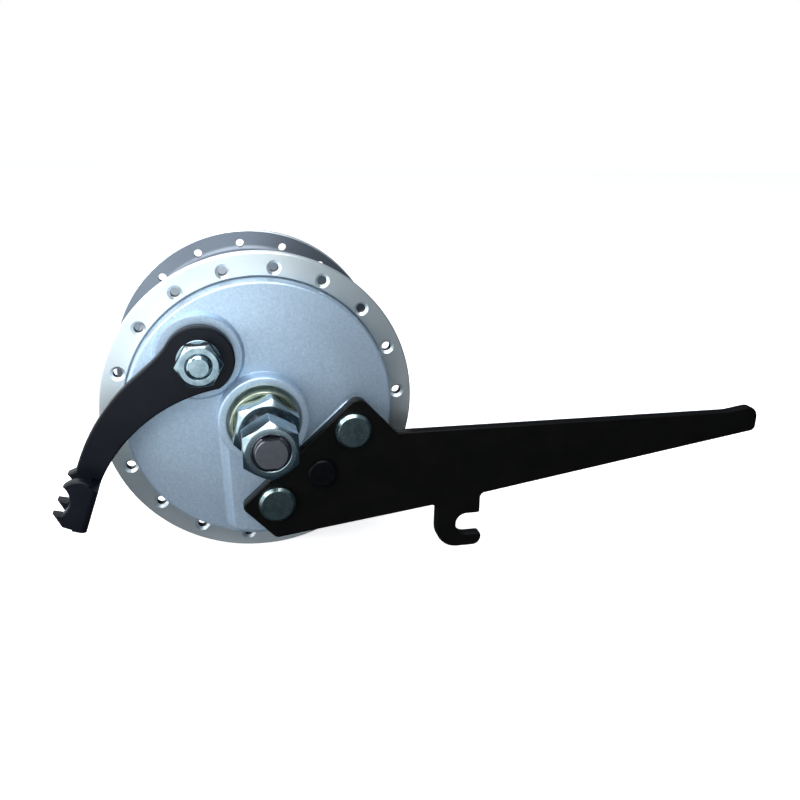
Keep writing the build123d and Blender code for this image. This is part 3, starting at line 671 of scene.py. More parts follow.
def plateHeight(points, path):
    # The casting's face: a dome, with the pad and the cam's boss rising from it through soft corners
    s = plateSizes
    out = np.linalg.norm(points, axis=1) - s["domeR"]
    inner, outer = s["domeZ"] - s["innerSlope"] * out, s["domeZ"] - s["outerSlope"] * out
    near = np.clip(1 - np.abs(inner - outer) / s["domeBlend"], 0, 1)
    height = np.minimum(inner, outer) - s["domeBlend"] / 4 * near ** 2
    cam = np.array(polar(brakeSizes["camR"], brakeSizes["angle"]))
    camDistance = np.linalg.norm(points - cam, axis=1) - s["camBossR"]
    for distance, face, soft in ((outlineDistance(points, path), s["padFace"], s["padSoftness"]),
                                 (camDistance, s["camBossFace"], s["bossSoftness"])):
        share = np.clip((distance + soft) / (soft * s["softSpan"]), 0, 1)
        lift = 1 - share * share * (3 - 2 * share)
        height += (face - height) * lift
    return height


def ringPoints(radius):
    count = plateSizes["segments"]
    return [Vector(polar(radius, number * 360 / count)) for number in range(count)]


faceMesh = {
    "padRows": (-1.5, -1.1, -0.75, -0.4, 0, 0.4, 0.8, 1.2, 1.6, 2.0, 2.4),
    "bossRows": (-1.5, -1.0, -0.65, -0.4, -0.2, 0, 0.2, 0.4, 0.65, 1.0, 1.4, 1.9, 2.4),
    "bossPoints": 144, "step": 1.15, "rowShare": 0.87, "bandMiddle": 0.45, "bandHalf": 2.6, "margin": 0.4,
}


def plateFront(path, innerR, outerR):
    # Points follow the edges of pad and boss in rows and fill the rest evenly; triangles join them
    s, m = plateSizes, faceMesh
    cam = Vector(polar(brakeSizes["camR"], brakeSizes["angle"]))
    rows = []
    for offset in m["padRows"]:
        rows += offsetPath(path, offset)
    turns = [number * 360 / m["bossPoints"] for number in range(m["bossPoints"])]
    for offset in m["bossRows"]:
        rows += [cam + Vector(polar(s["camBossR"] + offset, turn)) for turn in turns]
    grid = []
    step = m["step"]
    steps = int(outerR / step) + 1
    for row in range(-steps, steps + 1):
        for column in range(-steps, steps + 1):
            grid.append(Vector(((column + 0.5 * (row % 2)) * step, row * step * m["rowShare"])))
    flat = np.array([tuple(p) for p in grid])
    camAway = np.linalg.norm(flat - np.array(cam), axis=1) - s["camBossR"]
    middle, margin = m["bandMiddle"], m["margin"]
    away = np.minimum(np.abs(outlineDistance(flat, path) - middle), np.abs(camAway - middle))
    kept = [p for p, distance in zip(grid, away) if distance > m["bandHalf"]]
    loose = [p for p in rows + kept if innerR + margin < p.length < outerR - margin]
    inner, outer = ringPoints(innerR), ringPoints(outerR)
    count = s["segments"]
    edges = [(k, (k + 1) % count) for k in range(count)]
    edges += [(a + count, b + count) for a, b in edges]
    shortest = 1e-5
    found = delaunay_2d_cdt(inner + outer + loose, edges, [], 0, shortest)
    spots, triangles = found[0], found[2]
    heights = plateHeight(np.array([tuple(p) for p in spots]), path)
    points = [(p.x, p.y, z) for p, z in zip(spots, heights)]
    slack = 0.02
    holeR = innerR * math.cos(math.pi / count) - slack  # what lies within it belongs to the recess
    faces = []
    for face in triangles:
        middle = sum((spots[k] for k in face), Vector((0, 0))) / 3
        if middle.length > holeR:
            faces.append(tuple(face))
    return points, faces


def makeBrakePlate():
    s = plateSizes
    path = padPath()
    footR, domeEnd = s["bossR"] + s["bossFoot"], s["rimR"] - s["rimRound"]
    points, faces = plateFront(path, footR, domeEnd)
    around = ringPoints(1)
    bases = plateHeight(np.array([tuple(p * footR) for p in around]), path)
    rims = plateHeight(np.array([tuple(p * domeEnd) for p in around]), path)
    steps = 6
    quarter = [step / steps * math.pi / 2 for step in range(steps + 1)]
    drop = s["rimRound"] * s["rimDrop"]
    rings = [[(domeEnd + s["rimRound"] * math.sin(a), z - drop * (1 - math.cos(a))) for z in rims]
             for a in quarter]
    skirtR = s["rimR"] - s["skirtWall"]
    clear = 0.2  # the boss's wall starts this much above the foot, so that it never folds under the pad
    inside = roundedPath([
        (s["rimR"], s["skirtEnd"]),
        (skirtR, s["skirtEnd"]),
        (skirtR, s["skirtRoot"], s["softEdge"]),
        (s["domeR"], s["domeZ"] - s["wall"], s["innerRound"]),
        (s["hubR"], s["hubRoot"], s["softEdge"]),
        (s["hubR"], s["hubEnd"], s["softEdge"]),
        (axleBore, s["hubEnd"], s["fineEdge"]),
        (axleBore, s["recessFloor"]),
        (s["recessR"], s["recessFloor"], s["fineEdge"]),
        (s["recessR"], s["bossFace"], s["softEdge"]),
        (s["bossR"], s["bossFace"], s["bossRound"]),
        (s["bossR"], s["padFace"] + s["bossFoot"] + clear)], closed=False, steps=5)
    rings += [[tuple(p)] * len(around) for p in inside]
    for a in quarter:
        footRing = s["bossR"] + s["bossFoot"] * (1 - math.cos(a))
        rings.append([(footRing, z + s["bossFoot"] * (1 - math.sin(a))) for z in bases])
    faces += bandFaces(len(rings), len(around), len(points))
    for ring in rings:
        points += [(way.x * r, way.y * r, z) for way, (r, z) in zip(around, ring)]
    plate = makePiece("brakePlate", points, faces, sharp=42)
    finish(plate, "axle_and_plate", "silver_paint", "brake_plate")


makeBrakePlate()
print("brake plate made")

# Reaction arm, cut from sheet, with its rivets and the anchor pin

armSizes = {
    "back": 12.0, "front": 16.0, "inner": 18.0, "halfHead": 29.7, "topY": -8.0, "tail": (202.0, -5.8),
    "tailFoot": (202.0, -16.8), "tailRise": 14.0, "heelY": -46.9, "footSlope": 0.158, "heelSlope": 0.133,
    "round": 2.5, "shoulderRound": 4.0, "riseRound": 20.0, "tailRound": 4.5, "hookRight": 82.8,
    "hookLeft": 65.2, "lip": (83.9, -57.6), "lipRound": 3.4, "tipRound": 1.4, "hookHeelRound": 9.0,
    "rootRound": 2.0, "slotTop": -43.7, "slotFoot": -52.4, "slotEnd": 73.3, "slotRound": 4.2,
    "slotEdge": 0.8, "rolledEdge": 0.7, "burrEdge": 0.25,
}
rivetSizes = {
    "r": 32.5, "spread": 36.5, "headR": 6.7, "head": 3.0, "bevel": 1.0, "shankR": 4.0, "hole": 4.1,
    "shopR": 6.2, "shopHead": 2.0, "seat": 5.2, "shopRound": 0.8, "neckRound": 0.15, "rimRound": 0.3,
    "topRound": 0.35,
}
anchorSizes = {
    "pinR": 5.0, "hole": 5.1, "buttonR": 5.4, "button": 1.8, "round": 0.9, "low": -24.0, "endRound": 0.8,
}


def armPath():
    s = armSizes
    ux, uy = polar(1, brakeSizes["angle"] - 180)
    heel, shoulder = headPoint(s["inner"], -s["halfHead"]), headPoint(s["inner"], s["halfHead"])
    topX = shoulder.x + ux * (s["topY"] - shoulder.y) / uy
    heelX = heel.x + ux * (s["heelY"] - heel.y) / uy
    footY = s["tailFoot"][1] - (s["tailFoot"][0] - s["hookRight"]) * s["footSlope"]
    hookLeftY = s["heelY"] + (s["hookLeft"] - heelX) * s["heelSlope"]
    corners = [
        (*heel, s["round"]), (*shoulder, s["shoulderRound"]), (topX, s["topY"], s["round"]),
        (s["tail"][0] - s["tailRise"], s["topY"], s["riseRound"]), (*s["tail"], s["tailRound"]),
        (*s["tailFoot"], s["round"]), (s["hookRight"], footY, s["rootRound"]),
        (s["hookRight"], s["slotTop"], s["slotEdge"]), (s["slotEnd"], s["slotTop"], s["slotRound"]),
        (s["slotEnd"], s["slotFoot"], s["slotRound"]), (s["lip"][0], s["slotFoot"], s["tipRound"]),
        (*s["lip"], s["lipRound"]), (s["hookLeft"], s["lip"][1], s["hookHeelRound"]),
        (s["hookLeft"], hookLeftY, s["rootRound"]), (heelX, s["heelY"], s["round"])]
    return roundedPath(corners, steps=8)[::-1]


def rivetPlaces():
    anchor = brakeSizes["angle"] - 180
    return [polar(rivetSizes["r"], anchor + side * rivetSizes["spread"]) for side in (-1, 1)]


def rodCutter(x, y, radius, low, high):
    return lathe("cutter", ((0, low), (radius, low), (radius, high), (0, high)), 48, (x, y), closed=False)


def makeArm():
    s = armSizes
    arm = plateFrom("reactionArm", armPath(), s["back"], s["front"], s["burrEdge"], s["rolledEdge"])
    past = 1.0  # how far the cutters reach out of the sheet
    low, high = s["back"] - past, s["front"] + past
    anchor = polar(brakeSizes["anchorR"], brakeSizes["angle"] - 180)
    holes = [rodCutter(*place, rivetSizes["hole"], low, high) for place in rivetPlaces()]
    holes.append(rodCutter(*anchor, anchorSizes["hole"], low, high))
    cutOut(arm, holes)
    weigh(arm)
    finish(arm, "axle_and_plate", "black_paint", "reaction_arm", material=armPaint)


def makeRivets():
    r = rivetSizes
    low, face, top = r["seat"] - r["shopHead"], armSizes["front"], armSizes["front"] + r["head"]
    rivet = lathe("rivet", (
        (0, low), (r["shopR"], low, r["shopRound"]), (r["shopR"], r["seat"]), (r["shankR"], r["seat"]),
        (r["shankR"], face), (r["headR"], face, r["neckRound"]),
        (r["headR"], top - r["bevel"], r["rimRound"]), (r["headR"] - r["bevel"], top, r["topRound"]),
        (0, top)), 72, closed=False, sharp=60)
    weigh(rivet, sharp=60)
    points = bpy.data.meshes.new("armRivets")
    points.from_pydata([(x * mm, 0, y * mm) for x, y in rivetPlaces()], [], [])
    rivets = addObject("armRivets", points)
    runTree(rivets, copiesTree(), {"Copy": rivet, "Material": paints["bright_zinc"]})
    bpy.data.objects.remove(rivet)
    finish(rivets, "axle_and_plate", "bright_zinc", "arm_rivets", material=rivetPaint)


def makeAnchorPin():
    a = anchorSizes
    top = armSizes["front"] + a["button"]
    pin = lathe("anchorPin", (
        (0, a["low"]), (a["pinR"], a["low"], a["endRound"]), (a["pinR"], armSizes["front"]),
        (a["buttonR"], armSizes["front"]), (a["buttonR"], top, a["round"]), (0, top)),
        72, polar(brakeSizes["anchorR"], brakeSizes["angle"] - 180), closed=False, steps=6)
    weigh(pin)
    finish(pin, "axle_and_plate", "black_steel", "anchor_pin")


makeArm()
makeRivets()
makeAnchorPin()
print("reaction arm and its fasteners made")

# Nuts and washers

nutSizes = {
    "faceShare": 0.93, "chamferAngle": 38.0, "sink": 0.5, "perSide": 16,
    "edge": 0.22, "edgeSteps": 3, "edgeAngle": 24,
}


def hexNut(name, flats, low, high, boreR, turn, centre=(0, 0)):
    # The corners are turned off at both ends, so each side ends in an arc
    n = nutSizes
    faceR = n["faceShare"] * flats / 2
    slope = math.tan(math.radians(n["chamferAngle"]))
    count = 6 * n["perSide"]
    rings = []
    half = ((boreR, "sink"), (boreR + n["sink"], "face"), (faceR, "face"), ("side", "edge"))
    levels = [(*level, -1) for level in half] + [(*level, 1) for level in reversed(half)]
    for radius, height, end in levels:
        ring = []
        for step in range(count):
            degrees = step * 360 / count
            sideR = flats / 2 / math.cos(math.radians((degrees % 60) - 30))
            r = sideR if radius == "side" else radius
            drop = {"face": 0, "sink": n["sink"], "edge": (sideR - faceR) * slope}[height]
            x, y = polar(r, degrees + turn)
            ring.append((centre[0] + x, centre[1] + y, high - drop if end > 0 else low + drop))
        rings.append(ring)
    points = [p for ring in rings for p in ring]
    nut = makePiece(name, points, bandFaces(len(rings), count, closed=True), sharp=20)
    bevel = nut.modifiers.new("Rolled edges", "BEVEL")
    bevel.width = n["edge"] * mm
    bevel.segments = n["edgeSteps"]
    bevel.limit_method = "ANGLE"
    bevel.angle_limit = math.radians(n["edgeAngle"])
    settle(nut)
    weigh(nut, sharp=40)
    return nut


def ringWasher(name, boreR, outerR, low, high, edge, centre=(0, 0)):
    washer = lathe(name, ((boreR, low), (outerR, low, edge), (outerR, high, edge), (boreR, high)), 96, centre)
    weigh(washer)
    return washer


axleNuts = {  # CAD node, width across flats, low and high face, and the turn from x in degrees
    "axleNutBrakeSide": ("axle_nut_brake_side", 18.0, 35.7, 46.5, 31.0),
    "lockNutBrakeSide": ("lock_nut_brake_side", 21.0, 20.2, 29.0, 19.5),
    "axleNutFarSide": ("axle_nut_far_side", 18.0, -100.1, -89.3, 12.0),
    "lockNutFarSide": ("lock_nut_far_side", 21.0, -82.6, -76.6, 4.0),
}
cupSizes = {
    "r": 12.2, "seat": 14.0, "face": 21.0, "rim": 0.8, "rimWidth": 1.2, "round": 0.45,
    "rimRound": 0.3, "floorRound": 0.25,
}
farWasherSizes = {"r": 10.5, "outer": -76.6, "inner": -75.1, "edge": 0.35}


def makeCupWasher():
    c = cupSizes
    innerR = c["r"] - c["rimWidth"]
    floor = c["face"] - c["rim"]
    washer = lathe("cupWasher", (
        (axleBore, c["seat"]), (c["r"], c["seat"], c["round"]), (c["r"], c["face"], c["round"]),
        (innerR, c["face"], c["rimRound"]), (innerR, floor, c["floorRound"]), (axleBore, floor)), 144)
    weigh(washer)
    finish(washer, "axle_and_plate", "yellow_zinc", "cup_washer_brake_side")


def makeFarWasher():
    f = farWasherSizes
    washer = ringWasher("farWasher", axleBore, f["r"], f["outer"], f["inner"], f["edge"])
    finish(washer, "axle_and_plate", "bright_zinc", "washer_far_side")


for name, (node, flats, low, high, turn) in axleNuts.items():
    nut = hexNut(name, flats, low, high, axleBore, turn)
    finish(nut, "axle_and_plate", "blue_zinc", node)
makeCupWasher()
makeFarWasher()
print("nuts and washers made")

# Axle, with its rolled thread and the flats for the fork ends

threadSizes = {"pitch": 1.25, "depth": 0.62, "crest": 0.14, "flank": 0.66, "perPitch": 8}
axleSizes = {
    "tip": 48.2, "farTip": -101.8, "chamfer": 0.9, "point": 2.2, "halfFlats": 4.7, "threadEnd": 18.0,
    "farThreadStart": -73.0, "runOut": 1.0, "flatsFrom": 29.0, "farFlatsFrom": -82.6, "around": 72,
}


def threadRing(z, radius, depth, around, centre, low, high, chamfer, point=0):
    # One ring of a rolled thread: crest, flank and root go round as a screw.
    # Within the length named point, both ends are turned down to the root.
    t = threadSizes
    ring = []
    for step in range(around):
        share = step / around
        wave = abs(2 * ((z / t["pitch"] - share) % 1) - 1)
        dip = 1 if min(high - z, z - low) < point else min(max((wave - t["crest"]) / t["flank"], 0), 1)
        r = radius - depth * dip
        r = min(r, radius - chamfer + (high - z), radius - chamfer + (z - low))
        x, y = polar(r, share * 360)
        ring.append((centre[0] + x, centre[1] + y, z))
    return ring


def threadHeights(low, high):
    count = round((high - low) / threadSizes["pitch"] * threadSizes["perPitch"])
    return [low + (high - low) * k / count for k in range(count + 1)]


def makeAxle():
    a = axleSizes
    depth = threadSizes["depth"]
    levels = [(z, depth, True) for z in threadHeights(a["farTip"], a["farFlatsFrom"])]
    levels += [(z, depth, False) for z in threadHeights(a["farFlatsFrom"], a["farThreadStart"])]
    levels += [(z, 0, False) for z in (a["farThreadStart"] + a["runOut"], a["threadEnd"] - a["runOut"])]
    levels += [(z, depth, False) for z in threadHeights(a["threadEnd"], a["flatsFrom"])]
    levels += [(z, depth, True) for z in threadHeights(a["flatsFrom"], a["tip"])]
    rings = []
    for z, dip, milled in levels:
        ring = threadRing(z, axleR, dip, a["around"], (0, 0), a["farTip"], a["tip"], a["chamfer"], a["point"])
        if milled:
            ring = [(x, min(max(y, -a["halfFlats"]), a["halfFlats"]), z) for x, y, z in ring]
        rings.append(ring)
    axle = stackRings("axleRod", rings, sharp=40)
    finish(axle, "axle_and_plate", "axle_steel", "axle")


makeAxle()
print("axle made")

# Cam spindle, brake lever, and the washer and nut on its stud

camSizes = {
    "flats": 14.2, "washerR": 7.7, "washer": (16.0, 17.2), "nutTop": 23.4, "turn": 2.0, "studR": 4.0,
    "studTip": 24.6, "studChamfer": 0.8, "studAround": 64, "studRoot": 2.5, "bossFace": 11.5, "journalR": 6.0,
    "collarR": 9.0, "camStart": -8.7, "camEnd": -21.7, "collarTop": -4.2, "halfLength": 5.0, "halfWidth": 4.0,
    "camRound": 0.6, "seatFlats": 8.6, "seatRound": 0.8, "seatTop": 15.7, "edge": 0.3, "fineEdge": 0.1,
    "seatEdge": 0.2,
}
camCentre = Vector(polar(brakeSizes["camR"], brakeSizes["angle"]))


def turnedRectangle(width, height, corner):
    # A rounded rectangle about the cam's axis, turned to the line of cam and anchor, counterclockwise
    corners = [(x * width / 2, y * height / 2, corner) for x, y in ((1, 1), (-1, 1), (-1, -1), (1, -1))]
    turn = Matrix.Rotation(math.radians(brakeSizes["angle"]), 2)
    return [turn @ p + camCentre for p in roundedPath(corners)]


def makeSpindle():
    s = camSizes
    camPath = turnedRectangle(2 * s["halfLength"], 2 * s["halfWidth"], s["camRound"])
    cam = plateFrom("cam", camPath, s["camEnd"], s["camStart"], s["edge"], s["fineEdge"])
    edge = s["edge"]
    shaft = lathe("shaft", (
        (0, s["camStart"]), (s["collarR"], s["camStart"], edge), (s["collarR"], s["collarTop"], edge),
        (s["journalR"], s["collarTop"]), (s["journalR"], s["bossFace"], edge), (0, s["bossFace"])),
        72, camCentre, closed=False)
    seatPath = turnedRectangle(s["seatFlats"], s["seatFlats"], s["seatRound"])
    seat = plateFrom("seat", seatPath, s["bossFace"], s["seatTop"], s["fineEdge"], s["seatEdge"])
    # The stud's root lies below the seat's top, so only the tip is chamfered.
    rings = [threadRing(z, s["studR"], threadSizes["depth"], s["studAround"], camCentre, s["studRoot"],
                        s["studTip"], s["studChamfer"]) for z in threadHeights(s["seatTop"], s["studTip"])]
    stud = stackRings("stud", rings, sharp=40)
    spindle = join("camSpindle", [cam, shaft, seat, stud])
    finish(spindle, "cam_lever", "bright_zinc", "cam_spindle")


leverSizes = {
    "back": 11.8, "front": 16.0, "wallBack": 22.6, "wallFront": 26.2, "headR": 12.2,
    "headSpan": (50, 152), "neckWay": 242, "neckPull": 3.4, "armPull": 3.2,
    "outer": ((-16.05, -0.90), (-30.85, -14.80), (-42.65, -37.30)),
    "inner": ((-34.65, -41.90), (-19.05, -21.80), (6.55, -10.40)),
    "bendTop": (-34.65, -41.90), "bendFoot": (-38.85, -54.50), "heel": (-46.85, -53.10),
    "notchUpper": (-45.45, -38.50), "notchDeep": (-43.75, -44.00), "notchLower": (-46.45, -48.50),
    "toothLower": (-49.45, -47.70), "toothRoot": (-47.85, -51.00), "wallTopMid": (-40.05, -36.90),
    "bendRound": 2.2, "bendReach": 3.4, "legOverlap": 0.6, "legMore": 1.4, "footDrop": 1.75,
    "foldInner": 0.8, "foldRound": 0.5, "edge": 0.7, "backEdge": 0.4,
}


def bezier(a, b, c, d):
    # Points of a cubic curve, without its last point
    steps = 14
    points = []
    for step in range(steps):
        t = step / steps
        u = 1 - t
        points.append(a * u ** 3 + b * 3 * u * u * t + c * 3 * u * t * t + d * t ** 3)
    return points


def leverEndPath():
    # From the neck round both teeth, the notch and the heel to the fold's foot
    s = leverSizes
    points = [Vector(s["notchUpper"])]
    points += arcThrough(s["notchUpper"], s["notchDeep"], s["notchLower"], 12)[1:]
    points += [Vector(s[key]) for key in ("notchLower", "toothLower", "toothRoot", "heel")]
    return points


def leverPaths(foot, up, inward, reach, length):
    # The outlines of the sheet and of the wall that is folded over its end
    s = leverSizes
    headTop, headEnd = (Vector(polar(s["headR"], degrees)) for degrees in s["headSpan"])
    outerArc = arcThrough(*s["outer"], 36)[5:]  # its first steps give way to the neck's curve
    way = (outerArc[1] - outerArc[0]).normalized()
    pull = Vector(polar(s["neckPull"], s["neckWay"]))
    neckCurve = bezier(headEnd, headEnd + pull, outerArc[0] - way * s["armPull"], outerArc[0])
    headArc = arcThrough(s["inner"][2], headTop, headEnd, 48)
    innerArc = arcThrough(*s["inner"], 36)
    toeIn = foot + inward * reach - up * s["footDrop"]
    sheetPath = headArc + neckCurve + outerArc + [Vector(s["outer"][2])] + leverEndPath()
    sheetPath += [toeIn, foot + inward * reach + up * length, *innerArc]
    wallTop = arcThrough(s["bendTop"], s["wallTopMid"], s["notchUpper"], 24)
    wallPath = [p for p in wallTop if (p - foot).dot(inward) > reach] + leverEndPath() + [toeIn]
    return sheetPath, wallPath


def makeLever():
    s = leverSizes
    foot, top = Vector(s["bendFoot"]), Vector(s["bendTop"])
    up = (top - foot).normalized()
    inward = Vector((-up.y, up.x))
    reach = s["bendReach"]
    length = (top - foot).length
    shift = Vector(camCentre)
    paths = leverPaths(foot, up, inward, reach - s["legOverlap"], length)
    sheetPath, wallPath = ([p + shift for p in path] for path in paths)
    sheet = plateFrom("sheet", sheetPath, s["back"], s["front"], s["backEdge"], s["edge"])
    wall = plateFrom("wall", wallPath, s["wallBack"], s["wallFront"], s["edge"], s["edge"])
    skin = 0.03  # the strip lies this much under the sheet and the wall, so that no faces coincide
    low, high = s["back"] + skin, s["wallFront"] - skin
    innerLow, innerHigh = s["front"] - skin, s["wallBack"] + skin
    inside = s["front"] - s["back"] - s["foldInner"]
    legs = reach + s["legMore"]
    bend, fold = s["bendRound"], s["foldRound"]
    section = roundedPath([
        (legs, low), (0, low, bend), (0, high, bend), (legs, high), (legs, innerHigh),
        (inside, innerHigh, fold), (inside, innerLow, fold), (legs, innerLow)], steps=8)
    rings = []
    crown = (Vector(s["wallTopMid"]) - top).dot(up)
    crownReach, crownPower = 6.7, 0.7  # how far and on what curve the wall's top edge rises to its crown
    for end in range(2):
        ring = []
        for across, z in section:
            arch = crown * min(across / crownReach, 1) ** crownPower if z > (low + high) / 2 else 0
            along = length + arch if end else -s["footDrop"]
            p = foot + inward * across + up * along + shift
            ring.append((p.x, p.y, z))
        rings.append(ring)
    strip = stackRings("strip", rings)
    lever = join("brakeLever", [sheet, strip, wall])
    weigh(lever)
    finish(lever, "cam_lever", "black_paint", "brake_lever")


def makeCamFasteners():
    s = camSizes
    low, high = s["washer"]
    bore = s["studR"] + threadClearance
    nut = hexNut("camNut", s["flats"], high, s["nutTop"], bore, s["turn"], camCentre)
    finish(nut, "cam_lever", "bright_zinc", "cam_nut")
    washer = ringWasher("camWasher", bore, s["washerR"], low, high, s["edge"], camCentre)
    finish(washer, "cam_lever", "bright_zinc", "cam_washer")


makeSpindle()
makeLever()
makeCamFasteners()
print("cam, lever and their fasteners made")

# Far side of the bearing, as it shows from behind

capSizes = {"bore": 11.0, "r": 19.0, "seat": -73.0, "face": -74.0, "edge": 0.2, "rim": 0.5}
coneSizes = {"r": 10.5, "face": -75.1, "shoulder": -72.3, "tipR": 7.9, "tip": -69.0, "end": -66.0,
             "edge": 0.5, "tipEdge": 0.3}


def makeFarCap():
    c = capSizes
    cap = lathe("farDustCap", (
        (c["bore"], c["seat"]), (c["r"], c["seat"], c["edge"]), (c["r"], c["face"], c["rim"]),
        (c["bore"], c["face"], c["edge"])), 144)
    weigh(cap)
    finish(cap, "shell", "black_steel", "dust_cap_far_side")


def makeFarCone():
    c = coneSizes
    cone = lathe("farCone", (
        (axleBore, c["face"]), (c["r"], c["face"], c["edge"]), (c["r"], c["shoulder"]), (c["tipR"], c["tip"]),
        (c["tipR"], c["end"], c["tipEdge"]), (axleBore, c["end"])), 96)
    weigh(cone)
    finish(cone, "axle_and_plate", "bearing_steel", "bearing_cone_far_side")


makeFarCap()
makeFarCone()
print("far cap and cone made")

# CAD nodes that keep their shape get their finish here

for part in frame["record"]["subparts"]:
    node = frame["nodes"][part["node"]]
    if not node.hide_render:
        node.data.materials.clear()
        node.data.materials.append(paints[part["material_slot"]])
print("carried-over nodes finished")

# Stage, lamps and camera

stageSizes = {
    "floorZ": -0.0577, "size": 6.0, "floor": "#F4F4F4", "floorGlow": 0.78,
    "fill": "#C9D2DE", "fillGlow": 0.34,
}


def seenDirectly(tree):
    # 1 for rays from the camera, a mirror or glass
    rays = addNode(tree, "ShaderNodeLightPath").outputs
    either = addMaths(tree, "MAXIMUM", rays["Is Camera Ray"], rays["Is Glossy Ray"])
    return addMaths(tree, "MAXIMUM", either, rays["Is Transmission Ray"])


def stageMaterial():
    # White to the camera and in reflections, and still darkened by the object's shadow
    material = bpy.data.materials.new("studioFloor")
    tree = emptyTree(material)
    strength = addMaths(tree, "MULTIPLY", seenDirectly(tree), stageSizes["floorGlow"])
    glow = addNode(tree, "ShaderNodeEmission", links={"Strength": strength})
    paint = addNode(tree, "ShaderNodeBsdfDiffuse", {"Color": srgb(stageSizes["floor"])})
    both = addNode(tree, "ShaderNodeAddShader", links={0: glow.outputs[0], 1: paint.outputs[0]})
    addNode(tree, "ShaderNodeOutputMaterial", links={0: both.outputs[0]})
    return material


def makeStage():
    half = stageSizes["size"] / 2
    z = stageSizes["floorZ"]
    corners = [(x * half, y * half, z) for x, y in ((-1, -1), (1, -1), (1, 1), (-1, 1))]
    mesh = bpy.data.meshes.new("floor")
    mesh.from_pydata(corners, [], [(0, 1, 2, 3)])
    floor = addObject("floor", mesh)
    mesh.materials.append(stageMaterial())


def makeWorld():
    # A soft bluish fill on the object, and plain white behind it
    world = bpy.data.worlds.new("studio")
    bpy.context.scene.world = world
    tree = emptyTree(world)
    soft = {"Color": srgb(stageSizes["fill"]), "Strength": stageSizes["fillGlow"]}
    fill = addNode(tree, "ShaderNodeBackground", soft)
    white = addNode(tree, "ShaderNodeBackground", {"Color": srgb("#FFFFFF"), "Strength": 1.0})
    mixed = addNode(tree, "ShaderNodeMixShader",
                    links={0: seenDirectly(tree), 1: fill.outputs[0], 2: white.outputs[0]})
    addNode(tree, "ShaderNodeOutputWorld", links={0: mixed.outputs[0]})


def addLamp(name, place, size, power):
    # A white area lamp that points at the hub
    light = bpy.data.lights.new(name, "AREA")
    light.size = size
    light.energy = power
    lamp = addObject(name, light)
    lamp.location = place
    lamp.rotation_euler = (-Vector(place)).to_track_quat("-Z", "Y").to_euler()


def glowMaterial(name, colour, strength):
    material = bpy.data.materials.new(name)
    tree = emptyTree(material)
    glow = addNode(tree, "ShaderNodeEmission", {"Color": srgb(colour), "Strength": strength})
    addNode(tree, "ShaderNodeOutputMaterial", links={0: glow.outputs[0]})
    return material


def addScreen(name, points, faces, materials, chosen):
    # A glowing screen that only reflections show
    mesh = bpy.data.meshes.new(name)
    mesh.from_pydata(points, [], faces)
    for material in materials:
        mesh.materials.append(material)
    for face, number in zip(mesh.polygons, chosen):
        face.material_index = number
    screen = addObject(name, mesh)
    screen.visible_camera = False
    screen.visible_shadow = False
    screen.visible_diffuse = False
    screen.visible_transmission = False


roomSizes = {  # metres and degrees; the wall turns from pale to dark at the edge
    "radius": 0.9, "middleY": -0.03, "from": -205, "edge": -82, "to": 80, "high": 24,
    "floorRings": (0.2, 0.4, 0.85), "floorGap": 0.0001, "half": 16, "rise": 8,
    "ceiling": 2.5, "top": 89.9, "ceilingFrom": -210, "ceilingTo": 80,
    "pale": "#E6F0F4", "paleGlow": 1.5, "dark": "#28343D", "darkGlow": 1.0,
    "grey": "#6E7A86", "greyGlow": 1.0,
}


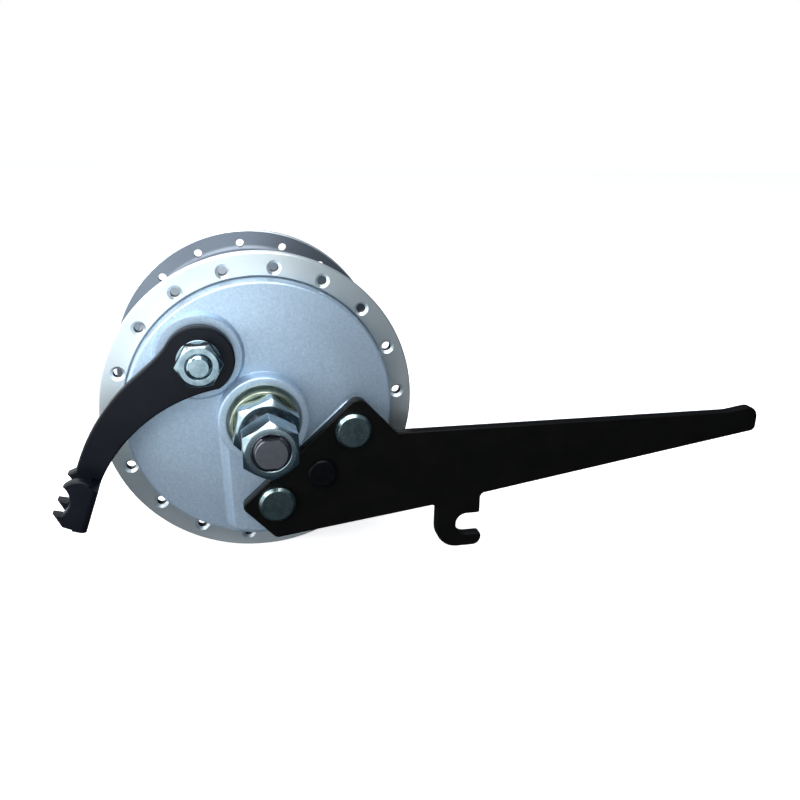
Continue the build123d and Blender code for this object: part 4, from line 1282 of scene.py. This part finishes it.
def addRoom():
    # What metal reflects: a wall that is pale to the left and dark to the right, a dark floor, a grey ceiling
    r = roomSizes
    pale, dark, grey = (glowMaterial("room" + tone.title(), r[tone], r[tone + "Glow"])
                        for tone in ("pale", "dark", "grey"))
    floorZ = stageSizes["floorZ"] + r["floorGap"]
    half, rise = r["half"], r["rise"]
    angles = [r["from"] + (r["edge"] - r["from"]) * k / half for k in range(half)]
    angles += [r["edge"] + (r["to"] - r["edge"]) * k / half for k in range(half + 1)]
    wall = [(radius, floorZ) for radius in r["floorRings"]]
    wall += [polar(r["radius"], r["high"] * step / rise) for step in range(1, rise + 1)]
    points, faces = turnedScreen(wall, angles, r["middleY"])
    chosen = [int(number % (2 * half) >= half) for number in range(len(faces))]
    faces.append(range(len(points), len(points) + 36))
    rim = [polar(r["floorRings"][0], 10 * k) for k in range(36)]
    points += [(x, y + r["middleY"], floorZ) for x, y in rim]
    addScreen("room", points, faces, [pale, dark], chosen + [1])
    dome = [polar(r["ceiling"], r["high"] + (r["top"] - r["high"]) * step / rise) for step in range(rise + 1)]
    turns = range(r["ceilingFrom"], r["ceilingTo"] + 1, 10)
    points, faces = turnedScreen(dome, turns, r["middleY"])
    addScreen("ceiling", points, faces, [grey], [0] * len(faces))


def turnedScreen(profile, angles, middleY):
    # Sweeps a profile of radius and height through the angles
    points = []
    for radius, z in profile:
        points += [(x, y + middleY, z) for x, y in (polar(radius, angle) for angle in angles)]
    return points, bandFaces(len(profile), len(angles), around=False)


cameraSizes = {  # fitted to the flanges, the plate's rim and the spoke holes of the photograph
    "place": (-0.0178, -0.2856, 0.1002), "lens": 36.05, "shift": (0.0088, -0.0460),
    "right": (0.9741, -0.2252, 0.0225), "up": (0.0423, 0.2788, 0.9594), "back": (-0.2223, -0.9336, 0.2811),
}


def makeCamera():
    s = cameraSizes
    camera = bpy.data.cameras.new("Camera")
    camera.sensor_width = 36
    camera.lens = s["lens"]
    camera.shift_x, camera.shift_y = s["shift"]
    camera.clip_start = 0.01
    viewer = addObject("Camera", camera)
    turn = Matrix((s["right"], s["up"], s["back"])).transposed().to_4x4()
    viewer.matrix_world = Matrix.Translation(s["place"]) @ turn
    bpy.context.scene.camera = viewer


lamps = {  # place and size in metres, power in watts
    "keyLamp": ((-0.12, -0.6, 0.98), 0.9, 15),
    "sideLamp": ((-0.85, -0.55, 0.35), 0.8, 14),
    "topLamp": ((-0.3, 0.55, 0.8), 0.6, 2),
}
makeStage()
makeWorld()
for name, (place, size, power) in lamps.items():
    addLamp(name, place, size, power)
addRoom()
makeCamera()
bpy.context.scene.view_settings.view_transform = "Standard"
print("stage, lamps and camera set")
